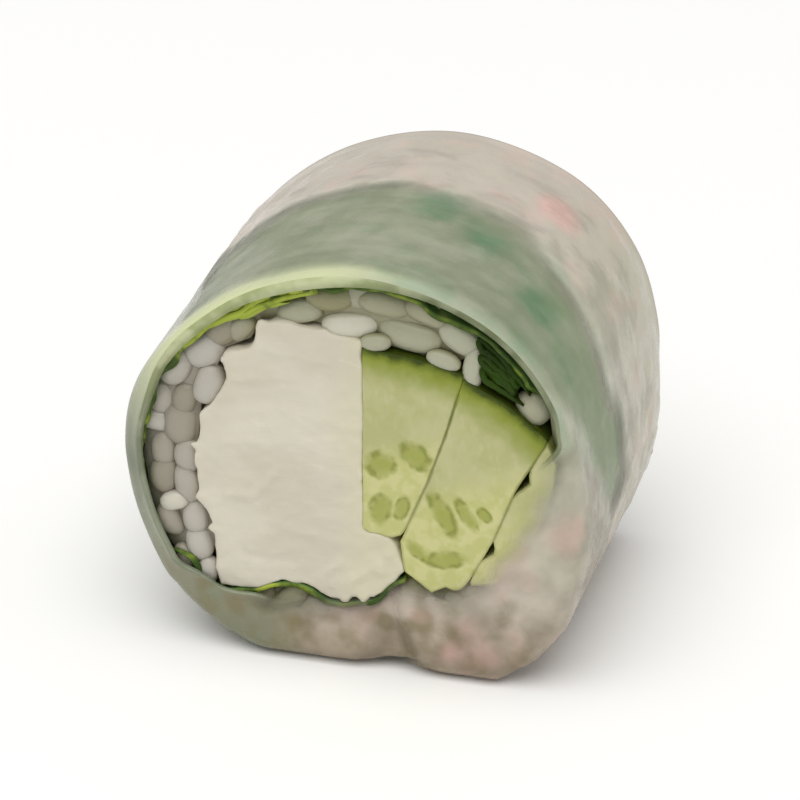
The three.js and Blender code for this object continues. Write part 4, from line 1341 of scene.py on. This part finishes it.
# Seeds in the cut: (x, z, half length, half width, angle in degrees).
SEEDS_1 = [
    (2.9, 21.7, 1.35, 1.2, 20), (6.3, 23, 1.5, 1.1, -40), (2.9, 17, 1.4, 0.95, 80),
    (5, 17.4, 1.2, 0.6, 70),
]
SEEDS_2 = [
    (8.9, 17.4, 2.2, 0.8, -62), (11.2, 17.6, 1.6, 0.6, -58), (12.9, 17.8, 0.8, 0.5, -50),
    (9.2, 12.6, 1.7, 0.8, 10), (6.4, 13.2, 1.1, 0.6, -40),
]
SKIN_1 = [(1.42, 33.3), (6.6, 32.8), (10.7, 31.8)]
SKIN_2 = [(10.8, 31.4), (15, 29.2), (18.8, 26.3)]


def thickened(piece, thickest, offset, inner=0, rim=0):
    """Gives a weighed sheet its thickness."""
    piece.vertex_groups.new(name="thick")
    shell = piece.modifiers.new("thickness", "SOLIDIFY")
    shell.vertex_group = "thick"
    shell.thickness = thickest * MM
    shell.offset = offset
    shell.use_rim = True
    shell.material_offset = inner
    shell.material_offset_rim = rim


def softened(piece):
    fine = piece.modifiers.new("fine", "SUBSURF")
    fine.levels = 1
    fine.render_levels = 1


def make_slice():
    rng = random.Random(SEED)
    covered = covered_grains(rng)
    grains = covered + cut_grains(rng)
    finish = rice_finish()
    made_piece("rice", core_shape(), [finish], "rice", "rice")
    loose = made_piece("rice_grains", grains_shape(grains), [finish], "rice", "rice")
    softened(loose)
    paper = made_piece(
        "rice_paper", paper_shape(grain_tree(covered)),
        [paper_finish(), paper_inside_finish(), paper_rim_finish()], "rice_paper", "rice_paper")
    thickened(paper, 2 * PAPER - 0.1, -1, 1, 2)
    green = leaf_finish("lettuce_leaf", (0.035, 0.075, 0.018), (0.12, 0.215, 0.055), (0.31, 0.40, 0.12))
    leaves = joined(leaf_shape(), fold_shape(TOP_FOLD_PATH, TOP_FOLD_BACK, 30, 0.6))
    leaf = made_piece("lettuce", leaves, [green, leaf_edge_finish()], "lettuce", "lettuce")
    thickened(leaf, LEAF_THICKEST, 0, 0, 1)
    dark = leaf_finish("dark_lettuce", (0.009, 0.019, 0.002), (0.028, 0.062, 0.006), (0.1, 0.18, 0.012))
    frill = fold_shape(frill_path(), FOLD_BACK, 8, 0.3)
    fold = made_piece("lettuce_fold", frill, [dark], "lettuce", "lettuce_fold")
    thickened(fold, LEAF_THICKEST, 0)
    made_piece("cream_cheese", cheese_shape(), [cheese_finish()], "cream_cheese", "cream_cheese")
    sticks = [
        (1, CUCUMBER_1, SEEDS_1, SKIN_1, (3.5, 23.5, 3.5)),
        (2, CUCUMBER_2, SEEDS_2, SKIN_2, (9, 20, 3.5)),
        (3, CUCUMBER_3, [], [], (15, 20, 8)),
    ]
    for number, corners, seeds, skin, bed in sticks:
        name = f"cucumber_{number}"
        flesh = cucumber_finish(f"{name}_flesh", skin, bed, seeds)
        half_length = CUT if number == 2 else CUT - CUCUMBER_STEP
        made_piece(name, cucumber_shape(corners, half_length, 20 + number), [flesh], "cucumber", name)


# ---------------------------------------------------------------- floor, light and camera

FLOOR_SIZE = 6.0
VIEW_AZIMUTH = 15.5         # degrees to the right of straight at the cut
VIEW_HEIGHT = 26.0          # degrees above the floor
VIEW_DISTANCE = 0.36
VIEW_LENS = 168.0
SENSOR_WIDTH = 36.0
LOOK_AT = Vector((0.0003, 0, 0.0203))
LIGHT_PLACE = (0, -0.6, 1.68)
LIGHT_SIZE = 2.0
LIGHT_POWER = 25.0
LIGHT_COLOUR = (1, 0.99, 0.97)
ROOM_LIGHT = 0.52


def make_floor():
    bm = bmesh.new()
    bmesh.ops.create_grid(bm, x_segments=1, y_segments=1, size=FLOOR_SIZE / 2)
    mesh = mesh_of("floor", bm)
    mesh.materials.append(floor_finish())
    floor = in_scene("floor", mesh)


def aim(thing, place):
    thing.location = place
    thing.rotation_euler = (LOOK_AT - Vector(place)).to_track_quat("-Z", "Y").to_euler()


def make_light():
    lamp = bpy.data.lights.new("soft_top", "AREA")
    lamp.shape = "DISK"
    lamp.size = LIGHT_SIZE
    lamp.energy = LIGHT_POWER
    lamp.color = LIGHT_COLOUR
    aim(in_scene("soft_top", lamp), LIGHT_PLACE)


def make_world():
    world = bpy.data.worlds.new("soft_room")
    world.use_nodes = True
    background = world.node_tree.nodes["Background"]
    background.inputs["Color"].default_value = (1, 1, 1, 1)
    background.inputs["Strength"].default_value = ROOM_LIGHT
    bpy.context.scene.world = world


def make_camera():
    azimuth, height = math.radians(VIEW_AZIMUTH), math.radians(VIEW_HEIGHT)
    level = math.cos(height)
    back = Vector((math.sin(azimuth) * level, -math.cos(azimuth) * level, math.sin(height)))
    lens = bpy.data.cameras.new("camera")
    lens.lens = VIEW_LENS
    lens.sensor_width = SENSOR_WIDTH
    lens.clip_start = 0.01
    camera = in_scene("camera", lens)
    aim(camera, LOOK_AT + back * VIEW_DISTANCE)
    bpy.context.scene.camera = camera


make_slice()
make_floor()
make_world()
make_light()
make_camera()
bpy.context.scene.view_settings.view_transform = "Standard"
